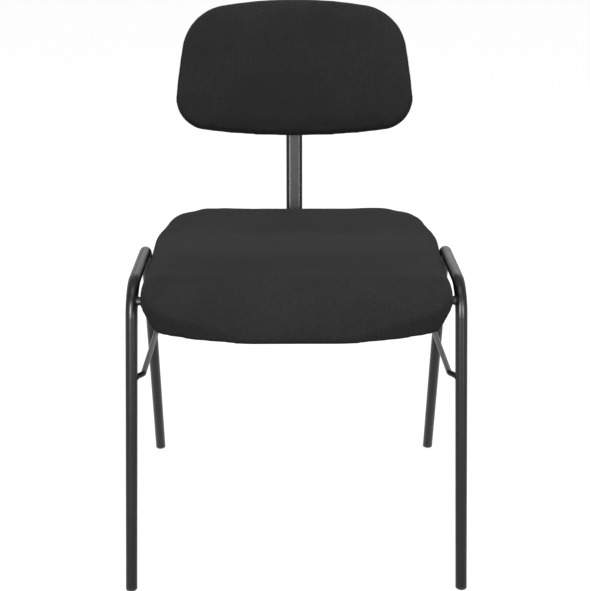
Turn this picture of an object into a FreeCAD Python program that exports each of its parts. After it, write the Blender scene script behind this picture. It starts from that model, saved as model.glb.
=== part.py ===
import FreeCAD, Part
import math
import os
import Sketcher
from FreeCAD import Placement, Rotation, Vector

# Orchestra chair: two bent tube side frames, a flat-oval spine that becomes the back post,
# a saddle seat and a back pad that slides on the post and rocks on a rubber-bushed pin.
# Lengths are in millimetres and angles in degrees. While the pieces are made, Y = 0 is the
# line of the front legs and the chair faces -Y; at the end the whole chair is centred.

driving = {
    # side frames
    "tube_diameter": 17.0,
    "tube_wall": 1.5,
    "rail_front_height": 478.0,
    "rail_rear_height": 472.0,
    "rail_length": 196.0,
    "rear_foot_reach": 471.0,
    "frame_bend_radius": 40.0,
    "foot_half_spacing": 247.0,
    "splay_angle": 2.5,
    "front_tube_end": 5.0,
    "rear_tube_end": 11.0,
    # glides
    "plug_length": 18.0,
    "plug_clearance": 0.05,
    "glide_rim": 1.0,
    # cross tubes and side rods
    "cross_tube_diameter": 12.0,
    "cross_tube_wall": 1.5,
    "front_cross_height": 457.0,
    "rear_cross_height": 450.0,
    "side_rod_diameter": 8.0,
    "side_rod_inset": 15.0,
    "side_rod_front_height": 345.0,
    "side_rod_rear_height": 328.0,
    "side_rod_bend_radius": 10.0,
    # spine and back post, one flat-oval tube
    "post_width": 27.0,
    "post_depth": 14.0,
    "post_wall": 1.5,
    "post_front_overhang": 12.0,
    "post_lean": 12.0,
    "post_mark_height": 600.0,
    "post_mark_reach": 452.0,
    "post_bend_radius": 60.0,
    "post_top_run": 172.0,
    "cap_thickness": 3.0,
    "cap_plug_length": 12.0,
    # seat
    "seat_side_gap": 0.5469491,
    "seat_front_taper": 4.3,
    "seat_rear_taper": 26.3,
    "seat_front_reach": 88.4,
    "seat_front_corner_reach": 49.4,
    "seat_side_reach": 248.0,
    "seat_rear_corner_reach": 383.0,
    "seat_rear_reach": 378.6,
    "seat_front_bow_radius": 600.0,
    "seat_front_corner_radius": 51.0,
    "seat_side_radius": 263.0,
    "seat_rear_corner_radius": 82.0,
    "seat_rear_bow_radius": 4000.0,
    "seat_saddle_radius": 2600.0,
    "seat_nose_radius": 67.0,
    "seat_nose_offset": 7.3,
    "seat_rest_gap": 0.3,
    "seat_pad_thickness": 25.0,
    "seat_crown": 2.0,
    "seat_board_thickness": 9.0,
    "seat_rim": 7.0,
    "seat_top_rounding": 10.0,
    "seat_lower_rounding": 3.5,
    "soft_gap": 0.3,
    "nose_board_angle": 148.0,
    "nose_lip_angle": 166.0,
    # seat fixings
    "tab_width": 24.0,
    "tab_length": 34.0,
    "tab_thickness": 3.0,
    "tab_spacing": 240.0,
    "bracket_reach": 325.0,
    "bracket_width": 84.0,
    "bracket_length": 36.0,
    "bracket_foot": 26.0,
    "screw_diameter": 5.0,
    "screw_head_diameter": 9.5,
    "screw_head_height": 2.8,
    "screw_clearance": 0.1,
    "insert_diameter": 8.0,
    "insert_length": 7.0,
    "insert_clearance": 0.05,
    "screw_grip": 6.0,
    # back pad outline, measured along the post from the mark
    "pad_top": 218.6,
    "pad_top_corner_height": 188.9,
    "pad_top_corner_width": 170.1,
    "pad_bottom_corner_height": 6.1,
    "pad_bottom_corner_width": 196.3,
    "pad_bottom": -19.5,
    "pad_top_bow_radius": 610.0,
    "pad_top_corner_radius": 81.0,
    "pad_bottom_corner_radius": 50.0,
    "pad_bottom_bow_radius": 1080.0,
    "pad_curve_radius": 680.0,
    "shell_thickness": 3.0,
    "shell_inset": 1.5,
    "shell_rounding": 1.4,
    "back_board_thickness": 9.0,
    "pad_rim": 7.0,
    "pad_foam": 13.0,
    "pad_crown": 3.5,
    "pad_front_rounding": 9.0,
    "pad_rear_rounding": 2.5,
    # carriage on the post
    "carriage_bottom": 72.0,
    "carriage_height": 70.0,
    "carriage_wall_front": 4.5,
    "carriage_wall_side": 6.5,
    "carriage_corner": 5.0,
    "running_clearance": 0.05,
    "pivot_reach": 20.5,
    "barrel_diameter": 17.0,
    "barrel_length": 22.0,
    "bush_diameter": 13.0,
    "pin_diameter": 8.0,
    "pin_head_diameter": 12.0,
    "pin_head_height": 1.5,
    "ear_gap": 0.6,
    "ear_thickness": 2.5,
    "ear_diameter": 16.0,
    "plate_reach": 30.0,
    "plate_thickness": 2.5,
    "plate_width": 64.0,
    "plate_height": 84.0,
    "plate_corner": 8.0,
    "back_screw_width": 46.0,
    "back_screw_height": 64.0,
    "buffer_diameter": 12.0,
    "buffer_length": 13.7,
    "buffer_spacing": 52.0,
    # clamp
    "boss_diameter": 22.0,
    "boss_length": 8.0,
    "shoe_width": 15.0,
    "shoe_height": 18.0,
    "shoe_thickness": 2.3,
    "shoe_gap": 0.1,
    "shoe_travel": 1.0,
    "shoe_clearance": 0.2,
    "stem_diameter": 8.0,
    "knob_gap": 0.8,
    "knob_thickness": 13.0,
    "knob_diameter": 34.0,
    "knob_hub_diameter": 16.0,
    "knob_hub_height": 3.0,
    "knob_scallop_diameter": 16.0,
    "knob_rounding": 1.6,
}

doc = FreeCAD.newDocument("orchestra_chair")
sizes = doc.addObject("Spreadsheet::Sheet", "sizes")
for row, (alias, number) in enumerate(driving.items(), start=1):
    sizes.set("A%d" % row, str(number))
    sizes.setAlias("A%d" % row, alias)
doc.recompute()


class Named:
    pass


dim = Named()
for alias in driving:
    setattr(dim, alias, float(sizes.get(alias)))

# Lengths that follow from the driving ones are kept in a second sheet
places = doc.addObject("Spreadsheet::Sheet", "places")
placed = []


def place_value(alias, number):
    placed.append(alias)
    places.set("A%d" % len(placed), repr(float(number)))
    places.setAlias("A%d" % len(placed), alias)
    return float(number)


pieces = {}
EDGE_SHARE = 0.5
SIDE_SHARE = 0.96
TAB_START_SHARE = 0.6
OVERRUN = 4.0 * dim.tube_diameter


def keep(node, thing):
    thing.Label = node
    pieces[node] = thing
    return thing


def feature(name, shape):
    thing = doc.addObject("Part::Feature", name)
    thing.Shape = shape
    return thing


def cylinder(name, radius_text, height_text, placement):
    thing = doc.addObject("Part::Cylinder", name)
    thing.setExpression("Radius", radius_text)
    thing.setExpression("Height", height_text)
    thing.Placement = placement
    return thing


def cut(name, base, tool):
    thing = doc.addObject("Part::Cut", name)
    thing.Base = base
    thing.Tool = tool
    return thing


def joined(name, shapes):
    thing = doc.addObject("Part::MultiFuse", name)
    thing.Shapes = shapes
    return thing


def origin_plane(body, role):
    return [item for item in body.Origin.OriginFeatures if item.Role == role][0]


def sketch_on(body, name, role):
    sketch = body.newObject("Sketcher::SketchObject", name)
    sketch.AttachmentSupport = [(origin_plane(body, role), "")]
    sketch.MapMode = "FlatFace"
    return sketch


def fitted_radii(points, radii):
    # where two arcs would meet on a side too short for both, they are limited by that side
    runs = []
    for i, radius in enumerate(radii, start=1):
        angle = (points[i - 1] - points[i]).getAngle(points[i + 1] - points[i])
        runs.append(radius / math.tan(angle / 2))
    closed = points[0].isEqual(points[-2], dim.seat_rest_gap)
    before = [runs[-1] if closed else 0] + runs[:-1]
    after = runs[1:] + [runs[0] if closed else 0]
    fitted = []
    for i, radius in enumerate(radii):
        low = (points[i + 1] - points[i]).Length / (before[i] + runs[i])
        high = (points[i + 2] - points[i + 1]).Length / (runs[i] + after[i])
        room = min(low, high)
        fitted.append(radius if room >= 1 else radius * room * SIDE_SHARE)
    return fitted


def tangent_points(points, radii):
    # where each corner's arc starts, its middle and where it ends
    radii = fitted_radii(points, radii)
    arcs = []
    for i in range(1, len(points) - 1):
        back = (points[i - 1] - points[i]).normalize()
        ahead = (points[i + 1] - points[i]).normalize()
        angle = back.getAngle(ahead)
        run = radii[i - 1] / math.tan(angle / 2)
        middle = (back + ahead).normalize() * (radii[i - 1] / math.sin(angle / 2) - radii[i - 1])
        arcs.append((points[i] + back * run, points[i] + middle, points[i] + ahead * run))
    return arcs


def rounded_path(points, radius):
    # an open wire of straight runs joined by tangent arcs
    edges = []
    here = points[0]
    for start, middle, end in tangent_points(points, [radius] * (len(points) - 2)):
        edges.append(Part.LineSegment(here, start).toShape())
        edges.append(Part.Arc(start, middle, end).toShape())
        here = end
    edges.append(Part.LineSegment(here, points[-1]).toShape())
    return Part.Wire(edges)


def rounded_outline(points, radii):
    # a closed wire with every corner rounded
    count = len(points)
    around = [points[-1]] + points + [points[0]]
    arcs = tangent_points(around, radii)
    edges = []
    for i in range(count):
        start, middle, end = arcs[i]
        edges.append(Part.Arc(start, middle, end).toShape())
        edges.append(Part.LineSegment(end, arcs[(i + 1) % count][0]).toShape())
    return Part.Wire(edges)


def round_bar(points, radius, bend):
    path = rounded_path(points, bend)
    ring = Part.Wire([Part.makeCircle(radius, points[0], points[1] - points[0])])
    return path.makePipeShell([ring], True, False)


def bound_path(sketch, points, texts, radius_text, radius):
    # straight runs through bound corner points, joined by tangent arcs of a bound radius
    plane_points = [Vector(u, v, 0) for u, v in points]
    marks = []
    for (u, v), (u_text, v_text) in zip(points, texts):
        mark = sketch.addGeometry(Part.Point(Vector(u, v, 0)), True)
        marks.append(mark)
        if u_text == "0":
            sketch.addConstraint(Sketcher.Constraint("PointOnObject", mark, 1, -2))
        else:
            index = sketch.addConstraint(Sketcher.Constraint("DistanceX", -1, 1, mark, 1, u))
            sketch.setExpression("Constraints[%d]" % index, u_text)
        if v_text == "0":
            sketch.addConstraint(Sketcher.Constraint("PointOnObject", mark, 1, -1))
        else:
            index = sketch.addConstraint(Sketcher.Constraint("DistanceY", -1, 1, mark, 1, v))
            sketch.setExpression("Constraints[%d]" % index, v_text)
    arcs = tangent_points(plane_points, [radius] * (len(points) - 2))
    starts = [plane_points[0]] + [end for start, middle, end in arcs]
    ends = [start for start, middle, end in arcs] + [plane_points[-1]]
    lines = []
    for i in range(len(starts)):
        line = sketch.addGeometry(Part.LineSegment(starts[i], ends[i]))
        lines.append(line)
        if i == 0:
            sketch.addConstraint(Sketcher.Constraint("Coincident", line, 1, marks[0], 1))
        else:
            sketch.addConstraint(Sketcher.Constraint("PointOnObject", marks[i], 1, line))
        if i == len(starts) - 1:
            sketch.addConstraint(Sketcher.Constraint("Coincident", line, 2, marks[-1], 1))
        else:
            sketch.addConstraint(Sketcher.Constraint("PointOnObject", marks[i + 1], 1, line))
    for i, (start, middle, end) in enumerate(arcs):
        corner = plane_points[i + 1]
        to_middle = (start + end) * EDGE_SHARE - corner
        centre = corner + to_middle.normalize() * corner.distanceToPoint(middle) + (
            to_middle.normalize() * radius)
        # an arc in a sketch always runs anticlockwise, so a right-hand bend starts at its end
        left_turn = (corner - start).cross(end - corner).z > 0
        first, last = (start, end) if left_turn else (end, start)
        from_angle = math.atan2(first.y - centre.y, first.x - centre.x)
        to_angle = math.atan2(last.y - centre.y, last.x - centre.x)
        if to_angle < from_angle:
            to_angle += 2 * math.pi
        ring = Part.Circle(centre, Vector(0, 0, 1), radius)
        arc = sketch.addGeometry(Part.ArcOfCircle(ring, from_angle, to_angle))
        head, tail = (1, 2) if left_turn else (2, 1)
        sketch.addConstraint(Sketcher.Constraint("Tangent", lines[i], 2, arc, head))
        sketch.addConstraint(Sketcher.Constraint("Tangent", arc, tail, lines[i + 1], 1))
        index = sketch.addConstraint(Sketcher.Constraint("Radius", arc, radius))
        sketch.setExpression("Constraints[%d]" % index, radius_text)


def bound_circle(sketch, radius, radius_text):
    ring = sketch.addGeometry(Part.Circle(Vector(0, 0, 0), Vector(0, 0, 1), radius))
    sketch.addConstraint(Sketcher.Constraint("Coincident", ring, 3, -1, 1))
    index = sketch.addConstraint(Sketcher.Constraint("Radius", ring, radius))
    sketch.setExpression("Constraints[%d]" % index, radius_text)


def bound_slot(sketch, half_run, half_run_text, radius, radius_text):
    # a flat-oval outline lying along the sketch's X axis, centred on the origin
    right_line = math.pi / 2
    up = Vector(0, 0, 1)
    right = Part.ArcOfCircle(Part.Circle(Vector(half_run, 0, 0), up, radius), -right_line, right_line)
    left = Part.ArcOfCircle(Part.Circle(Vector(-half_run, 0, 0), up, radius), right_line, 3 * right_line)
    right = sketch.addGeometry(right)
    left = sketch.addGeometry(left)
    top = sketch.addGeometry(
        Part.LineSegment(Vector(half_run, radius, 0), Vector(-half_run, radius, 0)))
    low = sketch.addGeometry(
        Part.LineSegment(Vector(-half_run, -radius, 0), Vector(half_run, -radius, 0)))
    for one, one_end, other, other_end in (
            (right, 2, top, 1), (top, 2, left, 1), (left, 2, low, 1), (low, 2, right, 1)):
        sketch.addConstraint(Sketcher.Constraint("Tangent", one, one_end, other, other_end))
    sketch.addConstraint(Sketcher.Constraint("PointOnObject", right, 3, -1))
    sketch.addConstraint(Sketcher.Constraint("Symmetric", right, 3, left, 3, -1, 1))
    index = sketch.addConstraint(Sketcher.Constraint("DistanceX", -1, 1, right, 3, half_run))
    sketch.setExpression("Constraints[%d]" % index, half_run_text)
    index = sketch.addConstraint(Sketcher.Constraint("Radius", right, radius))
    sketch.setExpression("Constraints[%d]" % index, radius_text)


# Side frames
# Each is one tube: up the front leg, back along the rail and down the raked rear leg. It lies
# in its own upright plane, tilted by the splay about the line through its feet.
tube_radius = dim.tube_diameter / 2
bore_radius = tube_radius - dim.tube_wall
rear_rake = math.atan2(dim.rear_foot_reach - dim.rail_length, dim.rail_rear_height)
rear_end_reach = place_value(
    "rear_end_reach", dim.rear_foot_reach - dim.rear_tube_end * math.sin(rear_rake))
rear_end_height = place_value("rear_end_height", dim.rear_tube_end * math.cos(rear_rake))
doc.recompute()


def side_place(side):
    return Placement(
        Vector(side * dim.foot_half_spacing, 0, 0), Rotation(Vector(0, 1, 0), -side * dim.splay_angle))


frame_points = [
    (0, dim.front_tube_end),
    (0, dim.rail_front_height),
    (dim.rail_length, dim.rail_rear_height),
    (rear_end_reach, rear_end_height),
]
frame_texts = [
    ("0", "sizes.front_tube_end"),
    ("0", "sizes.rail_front_height"),
    ("sizes.rail_length", "sizes.rail_rear_height"),
    ("places.rear_end_reach", "places.rear_end_height"),
]


def side_frame(side, name):
    body = doc.addObject("PartDesign::Body", name)
    path = sketch_on(body, name + "_path", "YZ_Plane")
    bound_path(path, frame_points, frame_texts, "sizes.frame_bend_radius", dim.frame_bend_radius)
    ring = sketch_on(body, name + "_ring", "XY_Plane")
    ring.setExpression("AttachmentOffset.Base.z", "sizes.front_tube_end")
    bound_circle(ring, tube_radius, "sizes.tube_diameter / 2")
    bound_circle(ring, bore_radius, "sizes.tube_diameter / 2 - sizes.tube_wall")
    doc.recompute()
    pipe = body.newObject("PartDesign::AdditivePipe", name + "_tube")
    pipe.Profile = ring
    pipe.Spine = (path, [])
    body.Placement = side_place(side)
    return keep(name, body)


# the same tube without its bore, to shape the ends that are welded to it
side_solids = {}
for side, name in ((-1, "left_side_frame"), (1, "right_side_frame")):
    side_frame(side, name)
    filled = round_bar([Vector(0, u, v) for u, v in frame_points], tube_radius, dim.frame_bend_radius)
    filled.Placement = side_place(side)
    side_solids[side] = feature(name + "_filled", filled)


# Glides
# A plug in each tube end with a cap of the tube's own diameter, cut level with the floor
floor_size = 4 * dim.foot_half_spacing
floor_block = doc.addObject("Part::Box", "floor_block")
floor_block.setExpression("Length", "4 * sizes.foot_half_spacing")
floor_block.setExpression("Width", "4 * sizes.foot_half_spacing")
floor_block.setExpression("Height", "4 * sizes.tube_diameter")
floor_block.Placement = Placement(
    Vector(-floor_size / 2, -floor_size / 4, -OVERRUN), Rotation())


def lowest_edges(shape, share):
    # the edges of the face that lies on the floor
    low = []
    for index, edge in enumerate(shape.Edges, start=1):
        if edge.BoundBox.ZMax < share * dim.tube_wall:
            low.append(index)
    return low


def glide(node, side, foot, end_run, lean):
    # the leg's axis runs from the foot at the floor up the tube
    local = Placement(Vector(0, foot, 0), Rotation(Vector(1, 0, 0), lean))
    up_leg = side_place(side).multiply(local)
    below = Placement(Vector(0, 0, -dim.tube_diameter), Rotation())
    inside = Placement(Vector(0, 0, end_run), Rotation())
    cap = cylinder(node + "_cap", "sizes.tube_diameter / 2", "sizes.tube_diameter + %s" % (
        "sizes.front_tube_end" if lean == 0 else "sizes.rear_tube_end"), up_leg.multiply(below))
    plug = cylinder(node + "_plug", "sizes.tube_diameter / 2 - sizes.tube_wall - sizes.plug_clearance",
                    "sizes.plug_length", up_leg.multiply(inside))
    whole = joined(node + "_whole", [cap, plug])
    level = cut(node + "_level", whole, floor_block)
    doc.recompute()
    rounded = doc.addObject("Part::Chamfer", node)
    rounded.Base = level
    rounded.Edges = [(index, dim.glide_rim, dim.glide_rim) for index in lowest_edges(level.Shape, 1)]
    keep(node, rounded)


for side, word in ((-1, "left"), (1, "right")):
    glide(word + "_front_glide", side, 0, dim.front_tube_end, 0)
    glide(word + "_rear_glide", side, dim.rear_foot_reach, dim.rear_tube_end, math.degrees(rear_rake))


# Cross tubes
# Both are coped to the side frames: the front one at the front bend, the rear one on the rear leg
def bend_reach(height):
    # where the front bend's centre line passes the height
    drop = dim.frame_bend_radius - (dim.rail_front_height - height)
    return dim.frame_bend_radius - math.sqrt(dim.frame_bend_radius ** 2 - drop ** 2)


front_cross_reach = bend_reach(dim.front_cross_height)
rear_cross_reach = dim.rail_length + (dim.rail_rear_height - dim.rear_cross_height) * math.tan(rear_rake)
cross_radius = dim.cross_tube_diameter / 2


def cross_tube(node, reach, height):
    lying = Placement(Vector(-dim.foot_half_spacing, reach, height), Rotation(Vector(0, 1, 0), 90))
    middle = dim.foot_half_spacing - height * math.tan(math.radians(dim.splay_angle))
    lying.Base = Vector(-middle, reach, height)
    run = place_value(node + "_run", 2 * middle)
    doc.recompute()
    outer = cylinder(node + "_outer", "sizes.cross_tube_diameter / 2", "places.%s_run" % node, lying)
    inner = cylinder(node + "_inner", "sizes.cross_tube_diameter / 2 - sizes.cross_tube_wall",
                     "places.%s_run" % node, lying)
    tube = cut(node + "_tube", outer, inner)
    left = cut(node + "_left", tube, side_solids[-1])
    keep(node, cut(node, left, side_solids[1]))
    return run


cross_tube("front_cross_tube", front_cross_reach, dim.front_cross_height)
cross_tube("rear_cross_tube", rear_cross_reach, dim.rear_cross_height)


# Side rods
# A thin round bar inboard of each side frame, bent out to meet the front and the rear leg
def leg_reach(height):
    return dim.rail_length + (dim.rail_rear_height - height) * math.tan(rear_rake)


def side_rod(node, side):
    inward = -side
    inset = dim.side_rod_inset
    rear = leg_reach(dim.side_rod_rear_height)
    points = [
        Vector(0, -inset * EDGE_SHARE, dim.side_rod_front_height),
        Vector(inward * inset, inset, dim.side_rod_front_height),
        Vector(inward * inset, rear - inset, dim.side_rod_rear_height),
        Vector(0, rear + inset * EDGE_SHARE, dim.side_rod_rear_height),
    ]
    bar = round_bar(points, dim.side_rod_diameter / 2, dim.side_rod_bend_radius)
    bar.Placement = side_place(side)
    whole = feature(node + "_bar", bar)
    trimmed = cut(node + "_trimmed", whole, side_solids[side])
    doc.recompute()
    # what is left on the outer side of the legs goes
    solids = sorted(trimmed.Shape.Solids, key=lambda solid: solid.Volume)
    keep(node, feature(node, solids[-1]))


side_rod("left_side_rod", -1)
side_rod("right_side_rod", 1)


# Spine and back post
# The flat-oval tube runs back under both cross tubes, touching them, and turns up behind the
# seat to lean back by post_lean
post_half_depth = dim.post_depth / 2
touch = cross_radius + post_half_depth
spine_slope = math.atan2(
    dim.front_cross_height - dim.rear_cross_height, rear_cross_reach - front_cross_reach)
lean = math.radians(dim.post_lean)


def spine_point(run):
    # a point on the spine's centre line, run along it from below the front cross tube
    reach = front_cross_reach - touch * math.sin(spine_slope) + run * math.cos(spine_slope)
    height = dim.front_cross_height - touch * math.cos(spine_slope) - run * math.sin(spine_slope)
    return reach, height


def spine_corner_run():
    # where the spine's line meets the post's line
    reach, height = spine_point(0)
    across = dim.post_mark_reach - reach
    rise = dim.post_mark_height - height
    turn = math.cos(lean) * math.cos(spine_slope) + math.sin(lean) * math.sin(spine_slope)
    return (across * math.cos(lean) - rise * math.sin(lean)) / turn


spine_corner = spine_corner_run() + dim.post_front_overhang
corner_reach, corner_height = spine_point(spine_corner_run())
post_run = math.hypot(
    dim.post_mark_reach - corner_reach, dim.post_mark_height - corner_height) + dim.post_top_run
post_turn = math.pi / 2 - lean + spine_slope
spine_corner = place_value("spine_corner", spine_corner)
post_end_along = place_value("post_end_along", spine_corner + post_run * math.cos(post_turn))
post_end_up = place_value("post_end_up", post_run * math.sin(post_turn))
doc.recompute()

post_body = doc.addObject("PartDesign::Body", "back_post")
post_path = sketch_on(post_body, "back_post_path", "YZ_Plane")
bound_path(
    post_path,
    [(0, 0), (spine_corner, 0), (post_end_along, post_end_up)],
    [("0", "0"), ("places.spine_corner", "0"), ("places.post_end_along", "places.post_end_up")],
    "sizes.post_bend_radius",
    dim.post_bend_radius)
post_ring = sketch_on(post_body, "back_post_ring", "XZ_Plane")
post_half_run = dim.post_width / 2 - post_half_depth
bound_slot(
    post_ring, post_half_run, "sizes.post_width / 2 - sizes.post_depth / 2",
    post_half_depth, "sizes.post_depth / 2")
bound_slot(
    post_ring, post_half_run, "sizes.post_width / 2 - sizes.post_depth / 2",
    post_half_depth - dim.post_wall, "sizes.post_depth / 2 - sizes.post_wall")
doc.recompute()
post_pipe = post_body.newObject("PartDesign::AdditivePipe", "back_post_tube")
post_pipe.Profile = post_ring
post_pipe.Spine = (post_path, [])
spine_start = spine_point(-dim.post_front_overhang)
post_body.Placement = Placement(
    Vector(0, spine_start[0], spine_start[1]), Rotation(Vector(1, 0, 0), -math.degrees(spine_slope)))
keep("back_post", post_body)


# The post's own frame: Z up the post from the mark, Y square to it towards the back
def post_place():
    return Placement(
        Vector(0, dim.post_mark_reach, dim.post_mark_height), Rotation(Vector(1, 0, 0), -dim.post_lean))


def on_post(node, shape):
    thing = feature(node, shape)
    thing.Placement = post_place().multiply(shape.Placement)
    return keep(node, thing)


def slot_prism(half_run, radius, bottom, height):
    # a flat-oval bar standing along Z
    points = [
        Vector(half_run, -radius, bottom), Vector(half_run + radius, 0, bottom),
        Vector(half_run, radius, bottom), Vector(-half_run, radius, bottom),
        Vector(-half_run - radius, 0, bottom), Vector(-half_run, -radius, bottom),
    ]
    outline = Part.Wire([
        Part.Arc(points[0], points[1], points[2]).toShape(),
        Part.LineSegment(points[2], points[3]).toShape(),
        Part.Arc(points[3], points[4], points[5]).toShape(),
        Part.LineSegment(points[5], points[0]).toShape(),
    ])
    return Part.Face(outline).extrude(Vector(0, 0, height))


def box(x_low, x_high, y_low, y_high, z_low, z_high):
    return Part.makeBox(
        x_high - x_low, y_high - y_low, z_high - z_low, Vector(x_low, y_low, z_low))


# End caps of the flat-oval tube, each a plate with a plug
def oval_cap():
    plate = slot_prism(post_half_run, post_half_depth, 0, dim.cap_thickness)
    rim = [edge for edge in plate.Edges if edge.BoundBox.ZMin > dim.cap_thickness / 2]
    plate = plate.makeChamfer(dim.cap_thickness * EDGE_SHARE * EDGE_SHARE, rim)
    plug_radius = post_half_depth - dim.post_wall - dim.plug_clearance
    plug = slot_prism(post_half_run, plug_radius, -dim.cap_plug_length, dim.cap_plug_length)
    return plate.fuse(plug).removeSplitter()


top_cap = oval_cap()
top_cap.translate(Vector(0, 0, dim.post_top_run))
on_post("post_top_cap", top_cap)

front_cap = feature("post_front_cap", oval_cap())
front_cap.Placement = post_body.Placement.multiply(
    Placement(Vector(0, 0, 0), Rotation(Vector(1, 0, 0), 90)))
keep("post_front_cap", front_cap)


# Seat
# The underside is a large saddle arc that runs over into a small nose arc. The saddle clears
# the rear cross tube and the nose the front one by seat_rest_gap.
# Its corners follow the space between the side frames at the front cross tube's height.
frame_inner = (dim.foot_half_spacing - tube_radius
               - dim.front_cross_height * math.tan(math.radians(dim.splay_angle)))
seat_half_width = frame_inner - dim.seat_side_gap
seat_front_half_width = seat_half_width - dim.seat_front_taper
seat_rear_half_width = seat_half_width - dim.seat_rear_taper
nose_reach = front_cross_reach + dim.seat_nose_offset
nose_drop = math.sqrt(
    (dim.seat_nose_radius - cross_radius - dim.seat_rest_gap) ** 2 - dim.seat_nose_offset ** 2)
nose_height = dim.front_cross_height - nose_drop


def upper_meeting(reach_one, height_one, radius_one, reach_two, height_two, radius_two):
    # the upper of the two points where two circles meet
    across = reach_two - reach_one
    rise = height_two - height_one
    span = math.hypot(across, rise)
    along = (radius_one ** 2 - radius_two ** 2 + span ** 2) / (2 * span)
    off = math.sqrt(radius_one ** 2 - along ** 2)
    return (
        reach_one + (along * across - off * rise) / span,
        height_one + (along * rise + off * across) / span)


saddle_reach, saddle_height = upper_meeting(
    nose_reach, nose_height, dim.seat_saddle_radius + dim.seat_nose_radius,
    rear_cross_reach, dim.rear_cross_height,
    dim.seat_saddle_radius + cross_radius + dim.seat_rest_gap)
meeting_angle = math.degrees(math.atan2(saddle_height - nose_height, saddle_reach - nose_reach))
section_end = dim.seat_rear_reach + OVERRUN


def nose_point(offset, angle):
    radius = dim.seat_nose_radius + offset
    turned = math.radians(angle)
    return Vector(0, nose_reach + radius * math.cos(turned), nose_height + radius * math.sin(turned))


def saddle_height_at(offset, reach):
    radius = dim.seat_saddle_radius - offset
    return saddle_height - math.sqrt(radius ** 2 - (reach - saddle_reach) ** 2)


def saddle_arc(offset):
    meeting = nose_point(offset, meeting_angle)
    half_way = (section_end + meeting.y) / 2
    return Part.Arc(
        meeting,
        Vector(0, half_way, saddle_height_at(offset, half_way)),
        Vector(0, section_end, saddle_height_at(offset, section_end))).toShape()


def nose_arc(offset, angle):
    return Part.Arc(
        nose_point(offset, angle),
        nose_point(offset, (angle + meeting_angle) / 2),
        nose_point(offset, meeting_angle)).toShape()


def line(start, end):
    return Part.LineSegment(start, end).toShape()


def seat_section(low, low_angle, high, high_angle):
    # the side view between two offsets above the underside
    rear_low = Vector(0, section_end, saddle_height_at(low, section_end))
    rear_high = Vector(0, section_end, saddle_height_at(high, section_end))
    outline = Part.Wire([
        saddle_arc(low), nose_arc(low, low_angle),
        line(nose_point(low, low_angle), nose_point(high, high_angle)),
        nose_arc(high, high_angle), saddle_arc(high), line(rear_high, rear_low)])
    reach = 2 * seat_half_width
    slab = Part.Face(outline).extrude(Vector(2 * reach, 0, 0))
    slab.translate(Vector(-reach, 0, 0))
    return slab


def seat_outline(inset):
    right_side = [
        (seat_front_half_width, inset - dim.seat_front_corner_reach, dim.seat_front_corner_radius),
        (seat_half_width, dim.seat_side_reach, dim.seat_side_radius),
        (seat_rear_half_width, dim.seat_rear_corner_reach - inset, dim.seat_rear_corner_radius)]
    front = (0, inset - dim.seat_front_reach, dim.seat_front_bow_radius)
    rear = (0, dim.seat_rear_reach - inset, dim.seat_rear_bow_radius)
    corners = [front]
    corners += [(wide - inset, reach, radius - inset) for wide, reach, radius in right_side]
    corners += [rear]
    corners += [(-wide, reach, radius) for wide, reach, radius in reversed(corners[1:-1])]
    points = [Vector(wide, reach, 0) for wide, reach, radius in corners]
    radii = [radius for wide, reach, radius in corners]
    prism = Part.Face(rounded_outline(points, radii)).extrude(Vector(0, 0, dim.rail_front_height))
    prism.translate(Vector(0, 0, dim.rail_front_height / 2))
    return prism


def crowned_slab():
    # everything below the top surface, which drops by the crown towards the sides
    thickness = dim.seat_pad_thickness
    deep = nose_height - dim.seat_nose_radius
    front = nose_point(thickness, 180)
    rear = Vector(0, section_end, saddle_height_at(thickness, section_end))
    outline = Part.Wire([
        nose_arc(thickness, 180), saddle_arc(thickness),
        line(rear, Vector(0, section_end, deep)),
        line(Vector(0, section_end, deep), Vector(0, front.y, deep)),
        line(Vector(0, front.y, deep), front)])
    crown_radius = seat_half_width ** 2 / (2 * dim.seat_crown)
    top = nose_height + dim.seat_nose_radius + thickness
    centre = Vector(0, 0, top - crown_radius)
    half_turn = math.degrees(math.atan(2 * seat_half_width / crown_radius))
    face = Part.Face(outline)
    face.rotate(centre, Vector(0, 1, 0), -half_turn)
    return face.revolve(centre, Vector(0, 1, 0), 2 * half_turn)


def face_normal(face):
    first_low, first_high, second_low, second_high = face.ParameterRange
    return face.normalAt((first_low + first_high) / 2, (second_low + second_high) / 2)


def rim_edges(solid, axis, side):
    # the edges where the upright walls meet the face on one side of the slab
    found = []
    for edge in solid.Edges:
        walls = 0
        caps = 0
        for face in solid.Faces:
            if any(edge.isSame(other) for other in face.Edges):
                along = face_normal(face).dot(axis)
                walls += abs(along) < 1e-4
                caps += along * side > 1e-4
        if walls == 1 and caps == 1:
            found.append(edge)
    return found


up = Vector(0, 0, 1)
seat_pad = seat_section(0, dim.nose_board_angle, dim.seat_pad_thickness, dim.nose_lip_angle)
seat_pad = seat_pad.common(seat_outline(0)).common(crowned_slab()).Solids[0]
seat_pad = seat_pad.makeFillet(dim.seat_top_rounding, rim_edges(seat_pad, up, 1))
seat_pad = seat_pad.makeFillet(dim.seat_lower_rounding, rim_edges(seat_pad, up, -1))

# the board fills a pocket in the pad's underside, inside the rim that wraps it
pocket = seat_section(
    -dim.seat_pad_thickness, dim.nose_board_angle + dim.soft_gap,
    dim.seat_board_thickness + dim.soft_gap, dim.nose_board_angle + dim.soft_gap)
pocket = pocket.common(seat_outline(dim.seat_rim - dim.soft_gap))
keep("seat_cushion", feature("seat_cushion", seat_pad.cut(pocket).Solids[0]))

seat_board = seat_section(0, dim.nose_board_angle, dim.seat_board_thickness, dim.nose_board_angle)
seat_board = seat_board.common(seat_outline(dim.seat_rim))


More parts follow.
